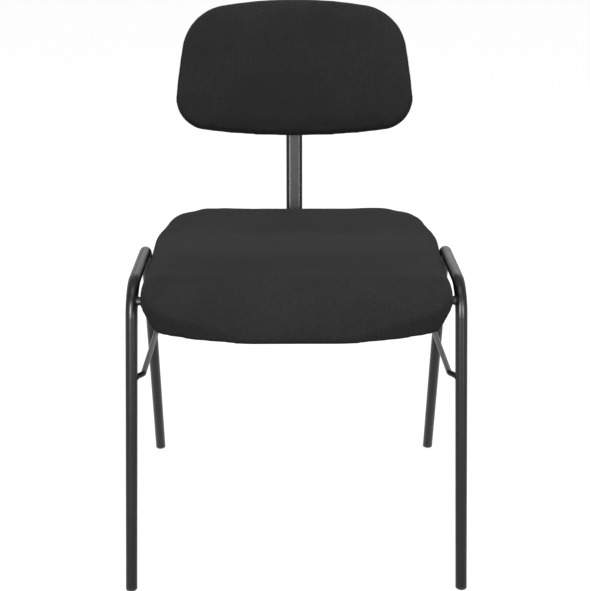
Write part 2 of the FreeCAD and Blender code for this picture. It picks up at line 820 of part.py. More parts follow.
# Seat fixings
# Four flat tabs welded to the cross tubes and one hat bracket on the spine carry the board.
def underside_height(reach):
    if reach < nose_point(0, meeting_angle).y:
        return nose_height + math.sqrt(dim.seat_nose_radius ** 2 - (reach - nose_reach) ** 2)
    return saddle_height_at(0, reach)


def chord_place(reach, run, sideways):
    # on the board's underside at the middle of a run, Z square to the run's chord
    low = underside_height(reach)
    high = underside_height(reach + run)
    spot = Vector(sideways, reach + run / 2, (low + high) / 2)
    return Placement(spot, Rotation(Vector(1, 0, 0), math.degrees(math.atan2(high - low, run))))


def tab(place):
    # its top face lies seat_rest_gap below the board
    plate = box(
        -dim.tab_width / 2, dim.tab_width / 2, -dim.tab_length / 2, dim.tab_length / 2,
        -dim.seat_rest_gap - dim.tab_thickness, -dim.seat_rest_gap)
    corners = [edge for edge in plate.Edges
               if abs(edge.BoundBox.YMin - dim.tab_length / 2) < dim.seat_rest_gap
               and edge.BoundBox.ZLength > dim.tab_thickness / 2]
    plate = plate.makeFillet(dim.tab_width / 4, corners)
    plate = plate.cut(Part.makeCylinder(
        (dim.screw_diameter + dim.screw_clearance) / 2, OVERRUN, Vector(0, 0, -OVERRUN / 2)))
    plate.Placement = place
    return plate


screw_spots = []
for word, reach, height in (
        ("front", front_cross_reach, dim.front_cross_height),
        ("rear", rear_cross_reach, dim.rear_cross_height)):
    tube = Part.makeCylinder(
        cross_radius, 2 * dim.foot_half_spacing,
        Vector(-dim.foot_half_spacing, reach, height), Vector(1, 0, 0))
    tabs = []
    for side in (-1, 1):
        spot = chord_place(
            reach + cross_radius * TAB_START_SHARE, dim.tab_length, side * dim.tab_spacing / 2)
        tabs.append(tab(spot).cut(tube).Solids[0])
        screw_spots.append(spot)
    keep(word + "_seat_tabs", feature(word + "_seat_tabs", Part.makeCompound(tabs)))

# the hat bracket: feet out under the board, crown down on the spine
bracket_place = chord_place(dim.bracket_reach - dim.bracket_length / 2, dim.bracket_length, 0)
spine_run = (dim.bracket_reach - spine_point(0)[0]) / math.cos(spine_slope)
spine_top = spine_point(spine_run)[1] + post_half_depth / math.cos(spine_slope)
bracket_drop = bracket_place.Base.z - spine_top
half_hat = dim.bracket_width / 2
thick = dim.tab_thickness
top_line = -dim.seat_rest_gap
crown_half = half_hat - dim.bracket_foot
hat_points = [
    Vector(-half_hat, 0, top_line), Vector(-crown_half, 0, top_line),
    Vector(-crown_half, 0, -bracket_drop + thick), Vector(crown_half, 0, -bracket_drop + thick),
    Vector(crown_half, 0, top_line), Vector(half_hat, 0, top_line),
    Vector(half_hat, 0, top_line - thick), Vector(crown_half + thick, 0, top_line - thick),
    Vector(crown_half + thick, 0, -bracket_drop - OVERRUN * EDGE_SHARE),
    Vector(-crown_half - thick, 0, -bracket_drop - OVERRUN * EDGE_SHARE),
    Vector(-crown_half - thick, 0, top_line - thick), Vector(-half_hat, 0, top_line - thick)]
hat = Part.Face(Part.makePolygon(hat_points + hat_points[:1])).extrude(Vector(0, dim.bracket_length, 0))
hat.translate(Vector(0, -dim.bracket_length / 2, 0))
for side in (-1, 1):
    spot = Vector(side * (half_hat - dim.bracket_foot / 2), 0, 0)
    hat = hat.cut(Part.makeCylinder(
        (dim.screw_diameter + dim.screw_clearance) / 2, OVERRUN, spot - Vector(0, 0, OVERRUN / 2)))
    screw_spots.append(bracket_place.multiply(Placement(spot, Rotation())))
hat.Placement = bracket_place
# its lower side follows the spine's sloping top
spine_block = box(
    -dim.bracket_width, dim.bracket_width, -OVERRUN, dim.seat_rear_reach,
    -OVERRUN, post_half_depth)
spine_block.Placement = post_body.Placement
keep("rear_seat_bracket", feature("rear_seat_bracket", hat.cut(spine_block).Solids[0]))


def screw_shape(grip):
    # head below, shank up through the plate into the insert
    head = Part.makeCylinder(
        dim.screw_head_diameter / 2, dim.screw_head_height, Vector(0, 0, -dim.screw_head_height))
    lower = [edge for edge in head.Edges if edge.BoundBox.ZMax < -dim.screw_head_height / 2]
    head = head.makeChamfer(dim.screw_head_height / 3, lower)
    shank = Part.makeCylinder(dim.screw_diameter / 2 - dim.insert_clearance, grip)
    return head.fuse(shank)


def insert_shape():
    outer = Part.makeCylinder(dim.insert_diameter / 2 - dim.insert_clearance, dim.insert_length)
    return outer.cut(Part.makeCylinder(dim.screw_diameter / 2, dim.insert_length))


plate_stack = dim.seat_rest_gap + dim.tab_thickness
screws = []
inserts = []
for spot in screw_spots:
    bolt = screw_shape(plate_stack + dim.screw_grip)
    bolt.Placement = spot.multiply(Placement(Vector(0, 0, -plate_stack), Rotation()))
    screws.append(bolt)
    nut = insert_shape()
    nut.Placement = spot
    inserts.append(nut)
    hole = Part.makeCylinder(
        dim.insert_diameter / 2, plate_stack + dim.insert_length + dim.insert_clearance)
    hole.Placement = spot.multiply(Placement(Vector(0, 0, -plate_stack), Rotation()))
    seat_board = seat_board.cut(hole)
keep("seat_screws", feature("seat_screws", Part.makeCompound(screws)))
keep("seat_inserts", feature("seat_inserts", Part.makeCompound(inserts)))
keep("seat_board", feature("seat_board", seat_board.Solids[0]))


# Back pad
# Shell, board and pad are layers of one upright cylinder whose axis is in front of the chair
axis_reach = -(dim.plate_reach + dim.plate_thickness + dim.insert_clearance) - dim.pad_curve_radius
pad_axis = Vector(0, axis_reach, 0)
shell_front = dim.pad_curve_radius - dim.shell_thickness
board_front = shell_front - dim.back_board_thickness
pivot_height = dim.carriage_bottom + dim.carriage_height / 2
half_sweep = 2 * math.degrees(math.asin(dim.pad_bottom_corner_width / dim.pad_curve_radius))


def layer(outer, inner, crown):
    # a curved slab between two radii; its front bulges by the crown at the pad's mid height
    half = (dim.pad_top - dim.pad_bottom) / 2
    middle = (dim.pad_top + dim.pad_bottom) / 2
    low = dim.pad_bottom - OVERRUN
    high = dim.pad_top + OVERRUN
    falling = crown * (((half + OVERRUN) / half) ** 2 - 1)
    rear_low = Vector(0, axis_reach + outer, low)
    rear_high = Vector(0, axis_reach + outer, high)
    front_low = Vector(0, axis_reach + inner + falling, low)
    front_high = Vector(0, front_low.y, high)
    if crown > 0:
        bulge = Vector(0, axis_reach + inner - crown, middle)
        front = Part.Arc(front_low, bulge, front_high).toShape()
    else:
        front = line(front_low, front_high)
    outline = Part.Wire([
        front, line(front_high, rear_high), line(rear_high, rear_low), line(rear_low, front_low)])
    face = Part.Face(outline)
    face.rotate(pad_axis, Vector(0, 0, 1), -half_sweep)
    return face.revolve(pad_axis, Vector(0, 0, 1), 2 * half_sweep)


def pad_outline(inset):
    points = [
        Vector(0, 0, dim.pad_top - inset),
        Vector(dim.pad_top_corner_width - inset, 0, dim.pad_top_corner_height - inset),
        Vector(dim.pad_bottom_corner_width - inset, 0, dim.pad_bottom_corner_height + inset),
        Vector(0, 0, dim.pad_bottom + inset),
        Vector(-dim.pad_bottom_corner_width + inset, 0, dim.pad_bottom_corner_height + inset),
        Vector(-dim.pad_top_corner_width + inset, 0, dim.pad_top_corner_height - inset)]
    top_round = dim.pad_top_corner_radius - inset
    low_round = dim.pad_bottom_corner_radius - inset
    radii = [
        dim.pad_top_bow_radius, top_round, low_round, dim.pad_bottom_bow_radius, low_round, top_round]
    prism = Part.Face(rounded_outline(points, radii)).extrude(Vector(0, dim.pad_curve_radius, 0))
    prism.translate(Vector(0, -dim.pad_curve_radius, 0))
    return prism


rearward = Vector(0, 1, 0)
back_pad = layer(shell_front - dim.soft_gap, board_front - dim.pad_foam, dim.pad_crown)
back_pad = back_pad.common(pad_outline(0)).Solids[0]
back_pad = back_pad.makeFillet(dim.pad_front_rounding, rim_edges(back_pad, rearward, -1))
back_pad = back_pad.makeFillet(dim.pad_rear_rounding, rim_edges(back_pad, rearward, 1))
pad_pocket = layer(dim.pad_curve_radius, board_front - dim.soft_gap, 0)
pad_pocket = pad_pocket.common(pad_outline(dim.pad_rim - dim.soft_gap))
on_post("backrest_cushion", back_pad.cut(pad_pocket).Solids[0])

back_board = layer(shell_front, board_front, 0).common(pad_outline(dim.pad_rim))
back_shell = layer(dim.pad_curve_radius, shell_front, 0)
back_shell = back_shell.common(pad_outline(dim.shell_inset)).Solids[0]
back_shell = back_shell.makeFillet(dim.shell_rounding, rim_edges(back_shell, rearward, 1))

# Bracket on the shell's back: a plate with two ears that hold the pivot pin
pivot = Vector(0, -dim.pivot_reach, pivot_height)
plate_rear = -dim.plate_reach
plate_front = plate_rear - dim.plate_thickness
bracket = box(
    -dim.plate_width / 2, dim.plate_width / 2, plate_front, plate_rear,
    pivot_height - dim.plate_height / 2, pivot_height + dim.plate_height / 2)
upright = [edge for edge in bracket.Edges if edge.BoundBox.YLength > dim.plate_thickness / 2]
bracket = bracket.makeFillet(dim.plate_corner, upright)
ear_inner = dim.barrel_length / 2 + dim.ear_gap
ear_outer = ear_inner + dim.ear_thickness
for side in (-1, 1):
    low_x = min(side * ear_inner, side * ear_outer)
    round_end = Part.makeCylinder(
        dim.ear_diameter / 2, dim.ear_thickness, Vector(low_x, pivot.y, pivot.z), Vector(1, 0, 0))
    root_high = 2 * dim.ear_diameter
    web = Part.Face(Part.makePolygon([
        Vector(low_x, plate_rear, pivot.z - root_high / 2),
        Vector(low_x, plate_rear, pivot.z + root_high / 2),
        Vector(low_x, pivot.y, pivot.z + dim.ear_diameter / 2),
        Vector(low_x, pivot.y, pivot.z - dim.ear_diameter / 2),
        Vector(low_x, plate_rear, pivot.z - root_high / 2)])).extrude(Vector(dim.ear_thickness, 0, 0))
    bracket = bracket.fuse([round_end, web])
pin_seat = Part.makeCylinder(
    dim.pin_diameter / 2 + dim.running_clearance, 2 * OVERRUN,
    Vector(-OVERRUN, pivot.y, pivot.z), Vector(1, 0, 0))
bracket = bracket.cut(pin_seat).removeSplitter()

# fixings between bracket, shell and board
fixing_stack = dim.plate_thickness + dim.insert_clearance + dim.shell_thickness
back_screws = []
back_inserts = []
for side in (-1, 1):
    for end in (-1, 1):
        spot = Placement(
            Vector(
                side * dim.back_screw_width / 2, plate_rear,
                pivot_height + end * dim.back_screw_height / 2),
            Rotation(Vector(1, 0, 0), 90))
        # the board's rear face falls away from the plate by its curve
        far_side = (dim.back_screw_width + dim.insert_diameter) / 2
        sag = dim.pad_curve_radius - math.sqrt(dim.pad_curve_radius ** 2 - far_side ** 2)
        bolt = screw_shape(fixing_stack + dim.screw_grip)
        bolt.Placement = spot
        back_screws.append(bolt)
        nut = insert_shape()
        nut_place = spot.multiply(Placement(Vector(0, 0, fixing_stack + sag), Rotation()))
        nut.Placement = nut_place
        back_inserts.append(nut)
        pocket_hole = Part.makeCylinder(
            dim.insert_diameter / 2, fixing_stack + dim.insert_length + dim.insert_clearance + sag)
        pocket_hole.Placement = spot
        through = Part.makeCylinder((dim.screw_diameter + dim.screw_clearance) / 2, fixing_stack + sag)
        through.Placement = spot
        bracket = bracket.cut(through)
        back_shell = back_shell.cut(through)
        back_board = back_board.cut(pocket_hole)
on_post("backrest_bracket", bracket)
on_post("backrest_shell", back_shell.Solids[0])
on_post("backrest_board", back_board.Solids[0])
on_post("backrest_screws", Part.makeCompound(back_screws))
on_post("backrest_inserts", Part.makeCompound(back_inserts))

# Pivot pin with a riveted head at each end
pin_half = ear_outer
pin = Part.makeCylinder(
    dim.pin_diameter / 2, 2 * pin_half, Vector(-pin_half, pivot.y, pivot.z), Vector(1, 0, 0))
for side in (-1, 1):
    head = Part.makeCylinder(
        dim.pin_head_diameter / 2, dim.pin_head_height,
        Vector(side * pin_half, pivot.y, pivot.z), Vector(side, 0, 0))
    outer = [edge for edge in head.Edges
             if abs(edge.BoundBox.Center.x) > pin_half + dim.pin_head_height * 3 / 4]
    pin = pin.fuse(head.makeChamfer(dim.pin_head_height / 3, outer))
on_post("pivot_pin", pin.removeSplitter())


# Carriage
# It slides on the post; the barrel in front holds the rubber bush and the boss behind the screw
carriage_half_width = dim.post_width / 2 + dim.carriage_wall_side
carriage_half_depth = post_half_depth + dim.carriage_wall_front
carriage_top = dim.carriage_bottom + dim.carriage_height
carriage = box(
    -carriage_half_width, carriage_half_width, -carriage_half_depth, carriage_half_depth,
    dim.carriage_bottom, carriage_top)
corners = [edge for edge in carriage.Edges if edge.BoundBox.ZLength > dim.carriage_height / 2]
carriage = carriage.makeFillet(dim.carriage_corner, corners)
ends = [edge for edge in carriage.Edges if edge.BoundBox.ZLength < dim.carriage_height / 4]
carriage = carriage.makeFillet(dim.running_clearance + dim.glide_rim, ends)
barrel = Part.makeCylinder(
    dim.barrel_diameter / 2, dim.barrel_length,
    Vector(-dim.barrel_length / 2, pivot.y, pivot.z), Vector(1, 0, 0))
neck = box(
    -dim.barrel_length / 2, dim.barrel_length / 2, pivot.y, -carriage_half_depth + dim.post_wall,
    pivot.z - dim.barrel_diameter / 2, pivot.z + dim.barrel_diameter / 2)
boss = Part.makeCylinder(
    dim.boss_diameter / 2, dim.boss_length + dim.post_wall,
    Vector(0, carriage_half_depth - dim.post_wall, pivot.z), Vector(0, 1, 0))
carriage = carriage.fuse([barrel, neck, boss])
post_bore = slot_prism(
    post_half_run, post_half_depth + dim.running_clearance,
    dim.carriage_bottom - OVERRUN, dim.carriage_height + 2 * OVERRUN)
bush_bore = Part.makeCylinder(
    dim.bush_diameter / 2, 2 * OVERRUN, Vector(-OVERRUN, pivot.y, pivot.z), Vector(1, 0, 0))
shoe_front = post_half_depth + dim.shoe_gap
shoe_rear = shoe_front + dim.shoe_thickness
pocket_rear = shoe_rear + dim.shoe_travel + dim.running_clearance
shoe_pocket = box(
    -dim.shoe_width / 2 - dim.shoe_clearance, dim.shoe_width / 2 + dim.shoe_clearance,
    0, pocket_rear,
    pivot.z - dim.shoe_height / 2 - dim.shoe_clearance, pivot.z + dim.shoe_height / 2 + dim.shoe_clearance)
boss_rear = carriage_half_depth + dim.boss_length
stem_bore = Part.makeCylinder(
    dim.stem_diameter / 2 + dim.running_clearance, boss_rear,
    Vector(0, 0, pivot.z), Vector(0, 1, 0))
carriage = carriage.cut([post_bore, bush_bore, shoe_pocket, stem_bore]).removeSplitter()
on_post("back_carriage", carriage)

bush = Part.makeCylinder(
    dim.bush_diameter / 2, dim.barrel_length,
    Vector(-dim.barrel_length / 2, pivot.y, pivot.z), Vector(1, 0, 0))
bush = bush.cut(Part.makeCylinder(
    dim.pin_diameter / 2 + dim.running_clearance, 2 * OVERRUN,
    Vector(-OVERRUN, pivot.y, pivot.z), Vector(1, 0, 0)))
on_post("hinge_bush", bush)

buffers = []
for end in (-1, 1):
    stop = Part.makeCylinder(
        dim.buffer_diameter / 2, dim.buffer_length,
        Vector(0, -carriage_half_depth, pivot.z + end * dim.buffer_spacing / 2), Vector(0, -1, 0))
    tip = [edge for edge in stop.Edges
           if edge.BoundBox.YMax < -carriage_half_depth - dim.buffer_length / 2]
    buffers.append(stop.makeChamfer(dim.buffer_diameter / 8, tip))
on_post("tilt_buffers", Part.makeCompound(buffers))

# Clamp: the shoe is pressed on the post by the stem of a star knob
shoe = box(
    -dim.shoe_width / 2, dim.shoe_width / 2, shoe_front, shoe_rear,
    pivot.z - dim.shoe_height / 2, pivot.z + dim.shoe_height / 2)
shoe_edges = [edge for edge in shoe.Edges if edge.BoundBox.YLength > dim.shoe_thickness / 2]
on_post("clamp_shoe", shoe.makeFillet(dim.shoe_thickness, shoe_edges))

knob_front = boss_rear + dim.knob_gap
stem_front = shoe_rear + dim.running_clearance
stem = Part.makeCylinder(
    dim.stem_diameter / 2, knob_front + dim.knob_thickness / 2 - stem_front,
    Vector(0, stem_front, pivot.z), Vector(0, 1, 0))
stem_tip = [edge for edge in stem.Edges if edge.BoundBox.YMax < stem_front + dim.knob_gap]
on_post("knob_stem", stem.makeChamfer(dim.stem_diameter / 8, stem_tip))

LOBES = 5
grip_front = knob_front + dim.knob_hub_height
grip = Part.makeCylinder(
    dim.knob_diameter / 2, dim.knob_thickness - dim.knob_hub_height,
    Vector(0, grip_front, pivot.z), Vector(0, 1, 0))
scallop_centre = dim.knob_diameter / 2 + dim.knob_scallop_diameter / 4
for lobe in range(LOBES):
    turned = 2 * math.pi * lobe / LOBES
    spot = Vector(
        scallop_centre * math.sin(turned), 0, pivot.z - scallop_centre * math.cos(turned))
    grip = grip.cut(Part.makeCylinder(dim.knob_scallop_diameter / 2, OVERRUN, spot, Vector(0, 1, 0)))
grip_edges = [edge for edge in grip.Edges if edge.BoundBox.YLength < dim.knob_rounding / 2]
grip = grip.makeChamfer(dim.knob_rounding, grip_edges)
hub = Part.makeCylinder(
    dim.knob_hub_diameter / 2, dim.knob_hub_height + dim.knob_rounding,
    Vector(0, knob_front, pivot.z), Vector(0, 1, 0))
stem_hole = Part.makeCylinder(
    dim.stem_diameter / 2, dim.knob_thickness / 2, Vector(0, knob_front, pivot.z), Vector(0, 1, 0))
on_post("clamp_knob", grip.fuse(hub).cut(stem_hole).removeSplitter())


# Centre the chair over its own box, check every object and write each piece
doc.recompute()
extent = FreeCAD.BoundBox()
for thing in pieces.values():
    extent.add(thing.Shape.optimalBoundingBox(False, False))
centring = Placement(Vector(-extent.Center.x, -extent.Center.y, -extent.ZMin), Rotation())
for thing in pieces.values():
    thing.Placement = centring.multiply(thing.Placement)
doc.recompute()

for thing in doc.Objects:
    if "Invalid" in thing.State or "Error" in thing.State:
        raise RuntimeError("%s failed: %s" % (thing.Name, thing.State))
for node, thing in pieces.items():
    if thing.Shape.isNull() or not thing.Shape.isValid():
        raise RuntimeError("%s has no valid shape" % node)

os.makedirs("parts", exist_ok=True)
for node, thing in pieces.items():
    thing.Shape.exportStep("parts/%s.step" % node)
print("pieces:", len(pieces), "centred by", round(-extent.Center.y, 3))
print("overall:", [round(v, 1) for v in (extent.XLength, extent.YLength, extent.ZLength)])
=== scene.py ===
import math

import bmesh
import bpy
import numpy as np
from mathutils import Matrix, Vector
from mathutils.bvhtree import BVHTree


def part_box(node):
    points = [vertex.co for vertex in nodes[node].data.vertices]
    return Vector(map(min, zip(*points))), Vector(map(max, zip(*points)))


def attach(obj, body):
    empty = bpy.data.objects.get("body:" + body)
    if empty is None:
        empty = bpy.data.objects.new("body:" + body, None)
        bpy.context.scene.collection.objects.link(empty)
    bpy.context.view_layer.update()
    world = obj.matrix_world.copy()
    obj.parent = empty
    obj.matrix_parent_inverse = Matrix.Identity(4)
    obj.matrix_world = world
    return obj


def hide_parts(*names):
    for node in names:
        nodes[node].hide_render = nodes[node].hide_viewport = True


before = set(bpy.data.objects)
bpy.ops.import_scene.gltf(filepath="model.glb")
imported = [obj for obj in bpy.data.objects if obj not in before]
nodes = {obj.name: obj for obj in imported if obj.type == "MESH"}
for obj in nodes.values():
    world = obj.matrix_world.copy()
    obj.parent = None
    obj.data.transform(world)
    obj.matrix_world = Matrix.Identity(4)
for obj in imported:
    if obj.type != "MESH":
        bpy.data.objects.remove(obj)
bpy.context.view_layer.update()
scene = bpy.context.scene
scene.view_settings.view_transform = "Standard"
print("frame loaded with", len(nodes), "nodes")


# Camera, at the photograph's viewing angle
camera = {
    "place": (-0.0149, -1.8391, 1.0506),
    "lookDown": 19.81,  # degrees below the horizon
    "turn": 0.447,  # degrees towards +X
    "focal": 1254.6,  # in pixels of the photograph
    "picture": (590, 591),
    "sensor": 36.0,
    "clip": (0.05, 100.0),
}


def makeCamera(look):
    lensData = bpy.data.cameras.new("photoCamera")
    lensData.sensor_width = look["sensor"]
    lensData.lens = look["focal"] * look["sensor"] / max(look["picture"])
    lensData.clip_start, lensData.clip_end = look["clip"]
    holder = bpy.data.objects.new("photoCamera", lensData)
    scene.collection.objects.link(holder)
    holder.location = look["place"]
    holder.rotation_euler = (
        math.radians(90 - look["lookDown"]), 0, math.radians(-look["turn"]))
    scene.camera = holder


makeCamera(camera)


# Node trees
def addNode(tree, kind, **settings):
    made = tree.nodes.new(kind)
    for key, value in settings.items():
        setattr(made, key, value)
    return made


def feed(tree, source, target):
    tree.links.new(source, target)


def setSocket(tree, socket, value):
    # a plain number is set on the socket, and a node's output is linked to it
    if isinstance(value, (int, float)):
        socket.default_value = value
    else:
        feed(tree, value, socket)


def mathNode(tree, operation, *values):
    made = addNode(tree, "ShaderNodeMath", operation=operation)
    for socket, value in zip(made.inputs, values):
        setSocket(tree, socket, value)
    return made.outputs[0]


def newTree(name, kind, inputs, outputs):
    tree = bpy.data.node_groups.new(name, kind)
    for socketName, socketKind, value in inputs:
        socket = tree.interface.new_socket(socketName, in_out="INPUT", socket_type=socketKind)
        if value is not None:
            socket.default_value = value
    for socketName, socketKind in outputs:
        tree.interface.new_socket(socketName, in_out="OUTPUT", socket_type=socketKind)
    return tree, addNode(tree, "NodeGroupInput"), addNode(tree, "NodeGroupOutput")


def noiseNode(tree, vector, scale, detail=2.0, rough=0.5):
    made = addNode(tree, "ShaderNodeTexNoise")
    made.inputs["Detail"].default_value = detail
    made.inputs["Roughness"].default_value = rough
    feed(tree, vector, made.inputs["Vector"])
    setSocket(tree, made.inputs["Scale"], scale)
    return made.outputs["Fac"]


def makeFlatWeave():
    # plain weave: yarns cross over and under, every other crossing swaps
    tree, into, out = newTree(
        "flatWeave", "ShaderNodeTree",
        [("Vector", "NodeSocketVector", None), ("Pitch", "NodeSocketFloat", 0.0009),
         ("Slub", "NodeSocketFloat", 0.25)],
        [("Height", "NodeSocketFloat"), ("YarnAndGapShade", "NodeSocketFloat")])
    apart = addNode(tree, "ShaderNodeSeparateXYZ")
    feed(tree, into.outputs["Vector"], apart.inputs[0])
    turns = [mathNode(tree, "DIVIDE", apart.outputs[axis], into.outputs["Pitch"]) for axis in (0, 1)]
    waves = [mathNode(tree, "SINE", mathNode(tree, "MULTIPLY", turn, math.pi)) for turn in turns]
    rounds = [mathNode(tree, "ABSOLUTE", wave) for wave in waves]
    cells = [mathNode(tree, "FLOOR", turn) for turn in turns]
    crossing = mathNode(tree, "ABSOLUTE", mathNode(tree, "ADD", cells[0], cells[1]))
    swap = mathNode(tree, "MODULO", crossing, 2.0)
    stay = mathNode(tree, "SUBTRACT", 1.0, swap)
    over = mathNode(tree, "MULTIPLY", rounds[0], swap)
    under = mathNode(tree, "MULTIPLY", rounds[1], stay)
    height = mathNode(tree, "ADD", over, under)
    slub = noiseNode(tree, into.outputs["Vector"], scale=420.0, detail=3.0, rough=0.6)
    uneven = mathNode(tree, "MULTIPLY", mathNode(tree, "SUBTRACT", slub, 0.5), into.outputs["Slub"])
    feed(tree, mathNode(tree, "ADD", height, uneven), out.inputs["Height"])
    # painted shade: darker in the gaps between the yarns, lighter on their crowns, plus the yarns' own random
    # slub tone
    feed(tree, mathNode(tree, "MULTIPLY_ADD", height, 0.5, slub), out.inputs["YarnAndGapShade"])
    return tree


def makeFineGrain():
    # the small bumps of powder coat, cast paint and moulded plastic
    tree, into, out = newTree(
        "fineGrain", "ShaderNodeTree",
        [("Vector", "NodeSocketVector", None), ("Scale", "NodeSocketFloat", 900.0),
         ("Pebble", "NodeSocketFloat", 0.0)],
        [("Height", "NodeSocketFloat"), ("Mask", "NodeSocketFloat")])
    soft = noiseNode(tree, into.outputs["Vector"], into.outputs["Scale"])
    cell = addNode(tree, "ShaderNodeTexVoronoi", feature="SMOOTH_F1")
    cell.inputs["Smoothness"].default_value = 0.6
    feed(tree, into.outputs["Vector"], cell.inputs["Vector"])
    feed(tree, into.outputs["Scale"], cell.inputs["Scale"])
    pebble = mathNode(tree, "MULTIPLY", cell.outputs["Distance"], into.outputs["Pebble"])
    feed(tree, mathNode(tree, "ADD", soft, pebble), out.inputs["Height"])
    broad = noiseNode(tree, into.outputs["Vector"], scale=28.0, detail=4.0, rough=0.6)
    feed(tree, broad, out.inputs["Mask"])
    return tree


def makeDust():
    # dust and handling marks, in broad soft patches
    tree, into, out = newTree(
        "dustAndMarks", "ShaderNodeTree",
        [("Vector", "NodeSocketVector", None), ("Amount", "NodeSocketFloat", 0.3)],
        [("Mask", "NodeSocketFloat")])
    patch = noiseNode(tree, into.outputs["Vector"], scale=9.0, detail=5.0, rough=0.65)
    speck = noiseNode(tree, into.outputs["Vector"], scale=260.0, detail=3.0, rough=0.7)
    ramp = addNode(tree, "ShaderNodeMapRange")
    feed(tree, mathNode(tree, "MULTIPLY", patch, speck), ramp.inputs["Value"])
    ramp.inputs["From Min"].default_value = 0.18
    ramp.inputs["From Max"].default_value = 0.42
    feed(tree, mathNode(tree, "MULTIPLY", ramp.outputs[0], into.outputs["Amount"]), out.inputs["Mask"])
    return tree


weaveGroup = makeFlatWeave()
grainGroup = makeFineGrain()
dustGroup = makeDust()


def startMaterial(name):
    material = bpy.data.materials.new(name)
    material.use_nodes = True
    tree = material.node_tree
    shader = tree.nodes["Principled BSDF"]
    where = addNode(tree, "ShaderNodeTexCoord")
    return material, tree, shader, where


def placeGroup(tree, group, vector, **values):
    made = addNode(tree, "ShaderNodeGroup", node_tree=group)
    feed(tree, vector, made.inputs["Vector"])
    for key, value in values.items():
        made.inputs[key].default_value = value
    return made


def blendColors(tree, mask, low, high, target):
    mix = addNode(tree, "ShaderNodeMix", data_type="RGBA")
    feed(tree, mask, mix.inputs["Factor"])
    mix.inputs["A"].default_value = (*low, 1.0)
    mix.inputs["B"].default_value = (*high, 1.0)
    feed(tree, mix.outputs["Result"], target)


def rangeTo(tree, mask, ends, target):
    made = addNode(tree, "ShaderNodeMapRange")
    feed(tree, mask, made.inputs["Value"])
    made.inputs["To Min"].default_value, made.inputs["To Max"].default_value = ends
    feed(tree, made.outputs[0], target)


def bumpTo(tree, shader, height, distance):
    bump = addNode(tree, "ShaderNodeBump")
    bump.inputs["Distance"].default_value = distance
    bump.inputs["Strength"].default_value = 1.0
    feed(tree, height, bump.inputs["Height"])
    feed(tree, bump.outputs[0], shader.inputs["Normal"])


# Hard finishes: dark paint, plastics, rubber. Each row is a finish of its own
hardFinishes = {
    "framePaint": {"low": (0.002, 0.002, 0.0022), "high": (0.006, 0.006, 0.0063), "rough": (0.31, 0.38),
                   "scale": 750.0, "pebble": 0.0, "relief": 0.00003, "level": 0.19, "dust": 0.2},
    "castPaint": {"low": (0.024, 0.024, 0.025), "high": (0.036, 0.036, 0.037), "rough": (0.5, 0.65),
                  "scale": 1300.0, "pebble": 0.8, "relief": 0.00012, "level": 0.45, "dust": 0.35},
    "shellPlastic": {"low": (0.024, 0.024, 0.024), "high": (0.034, 0.034, 0.034), "rough": (0.5, 0.62),
                     "scale": 1500.0, "pebble": 1.0, "relief": 0.0001, "level": 0.45, "dust": 0.3},
    "blackPlastic": {"low": (0.018, 0.018, 0.018), "high": (0.028, 0.028, 0.028), "rough": (0.45, 0.6),
                     "scale": 1800.0, "pebble": 0.6, "relief": 0.00005, "level": 0.5, "dust": 0.4},
    "knobPlastic": {"low": (0.024, 0.024, 0.024), "high": (0.036, 0.036, 0.036), "rough": (0.42, 0.6),
                    "scale": 1400.0, "pebble": 1.0, "relief": 0.00009, "level": 0.5, "dust": 0.2},
    "blackRubber": {"low": (0.014, 0.014, 0.014), "high": (0.024, 0.024, 0.024), "rough": (0.7, 0.85),
                    "scale": 900.0, "pebble": 0.3, "relief": 0.00006, "level": 0.35, "dust": 0.5},
}


def makeHardFinish(name, look):
    material, tree, shader, where = startMaterial(name)
    grain = placeGroup(tree, grainGroup, where.outputs["Object"], Scale=look["scale"], Pebble=look["pebble"])
    dust = placeGroup(tree, dustGroup, where.outputs["Object"], Amount=look["dust"])
    blendColors(tree, dust.outputs["Mask"], look["low"], look["high"], shader.inputs["Base Color"])
    rangeTo(tree, grain.outputs["Mask"], look["rough"], shader.inputs["Roughness"])
    shader.inputs["Specular IOR Level"].default_value = look["level"]
    bumpTo(tree, shader, grain.outputs["Height"], look["relief"])
    return material


finishes = {name: makeHardFinish(name, look) for name, look in hardFinishes.items()}


# Zinc plate on the screws, inserts, pin and stem
zincLook = {
    "low": (0.50, 0.51, 0.52), "high": (0.66, 0.66, 0.65), "rough": (0.26, 0.42), "relief": 0.00002,
    "scale": 1200.0, "pebble": 0.2,
}


def makeZinc(look):
    material, tree, shader, where = startMaterial("zincSteel")
    grain = placeGroup(tree, grainGroup, where.outputs["Object"], Scale=look["scale"], Pebble=look["pebble"])
    blendColors(tree, grain.outputs["Mask"], look["low"], look["high"], shader.inputs["Base Color"])
    rangeTo(tree, grain.outputs["Height"], look["rough"], shader.inputs["Roughness"])
    shader.inputs["Metallic"].default_value = 1.0
    bumpTo(tree, shader, grain.outputs["Height"], look["relief"])
    return material


finishes["zincSteel"] = makeZinc(zincLook)


# Beech plywood: broad figure and fine flecks, both drawn out along the grain
plywoodLook = {
    "light": (0.56, 0.40, 0.25), "dark": (0.40, 0.26, 0.15), "rough": (0.45, 0.6), "drawnOut": 0.06,
    "figure": 130.0, "fleck": 900.0, "fleckShare": 0.35, "relief": 0.00008,
}


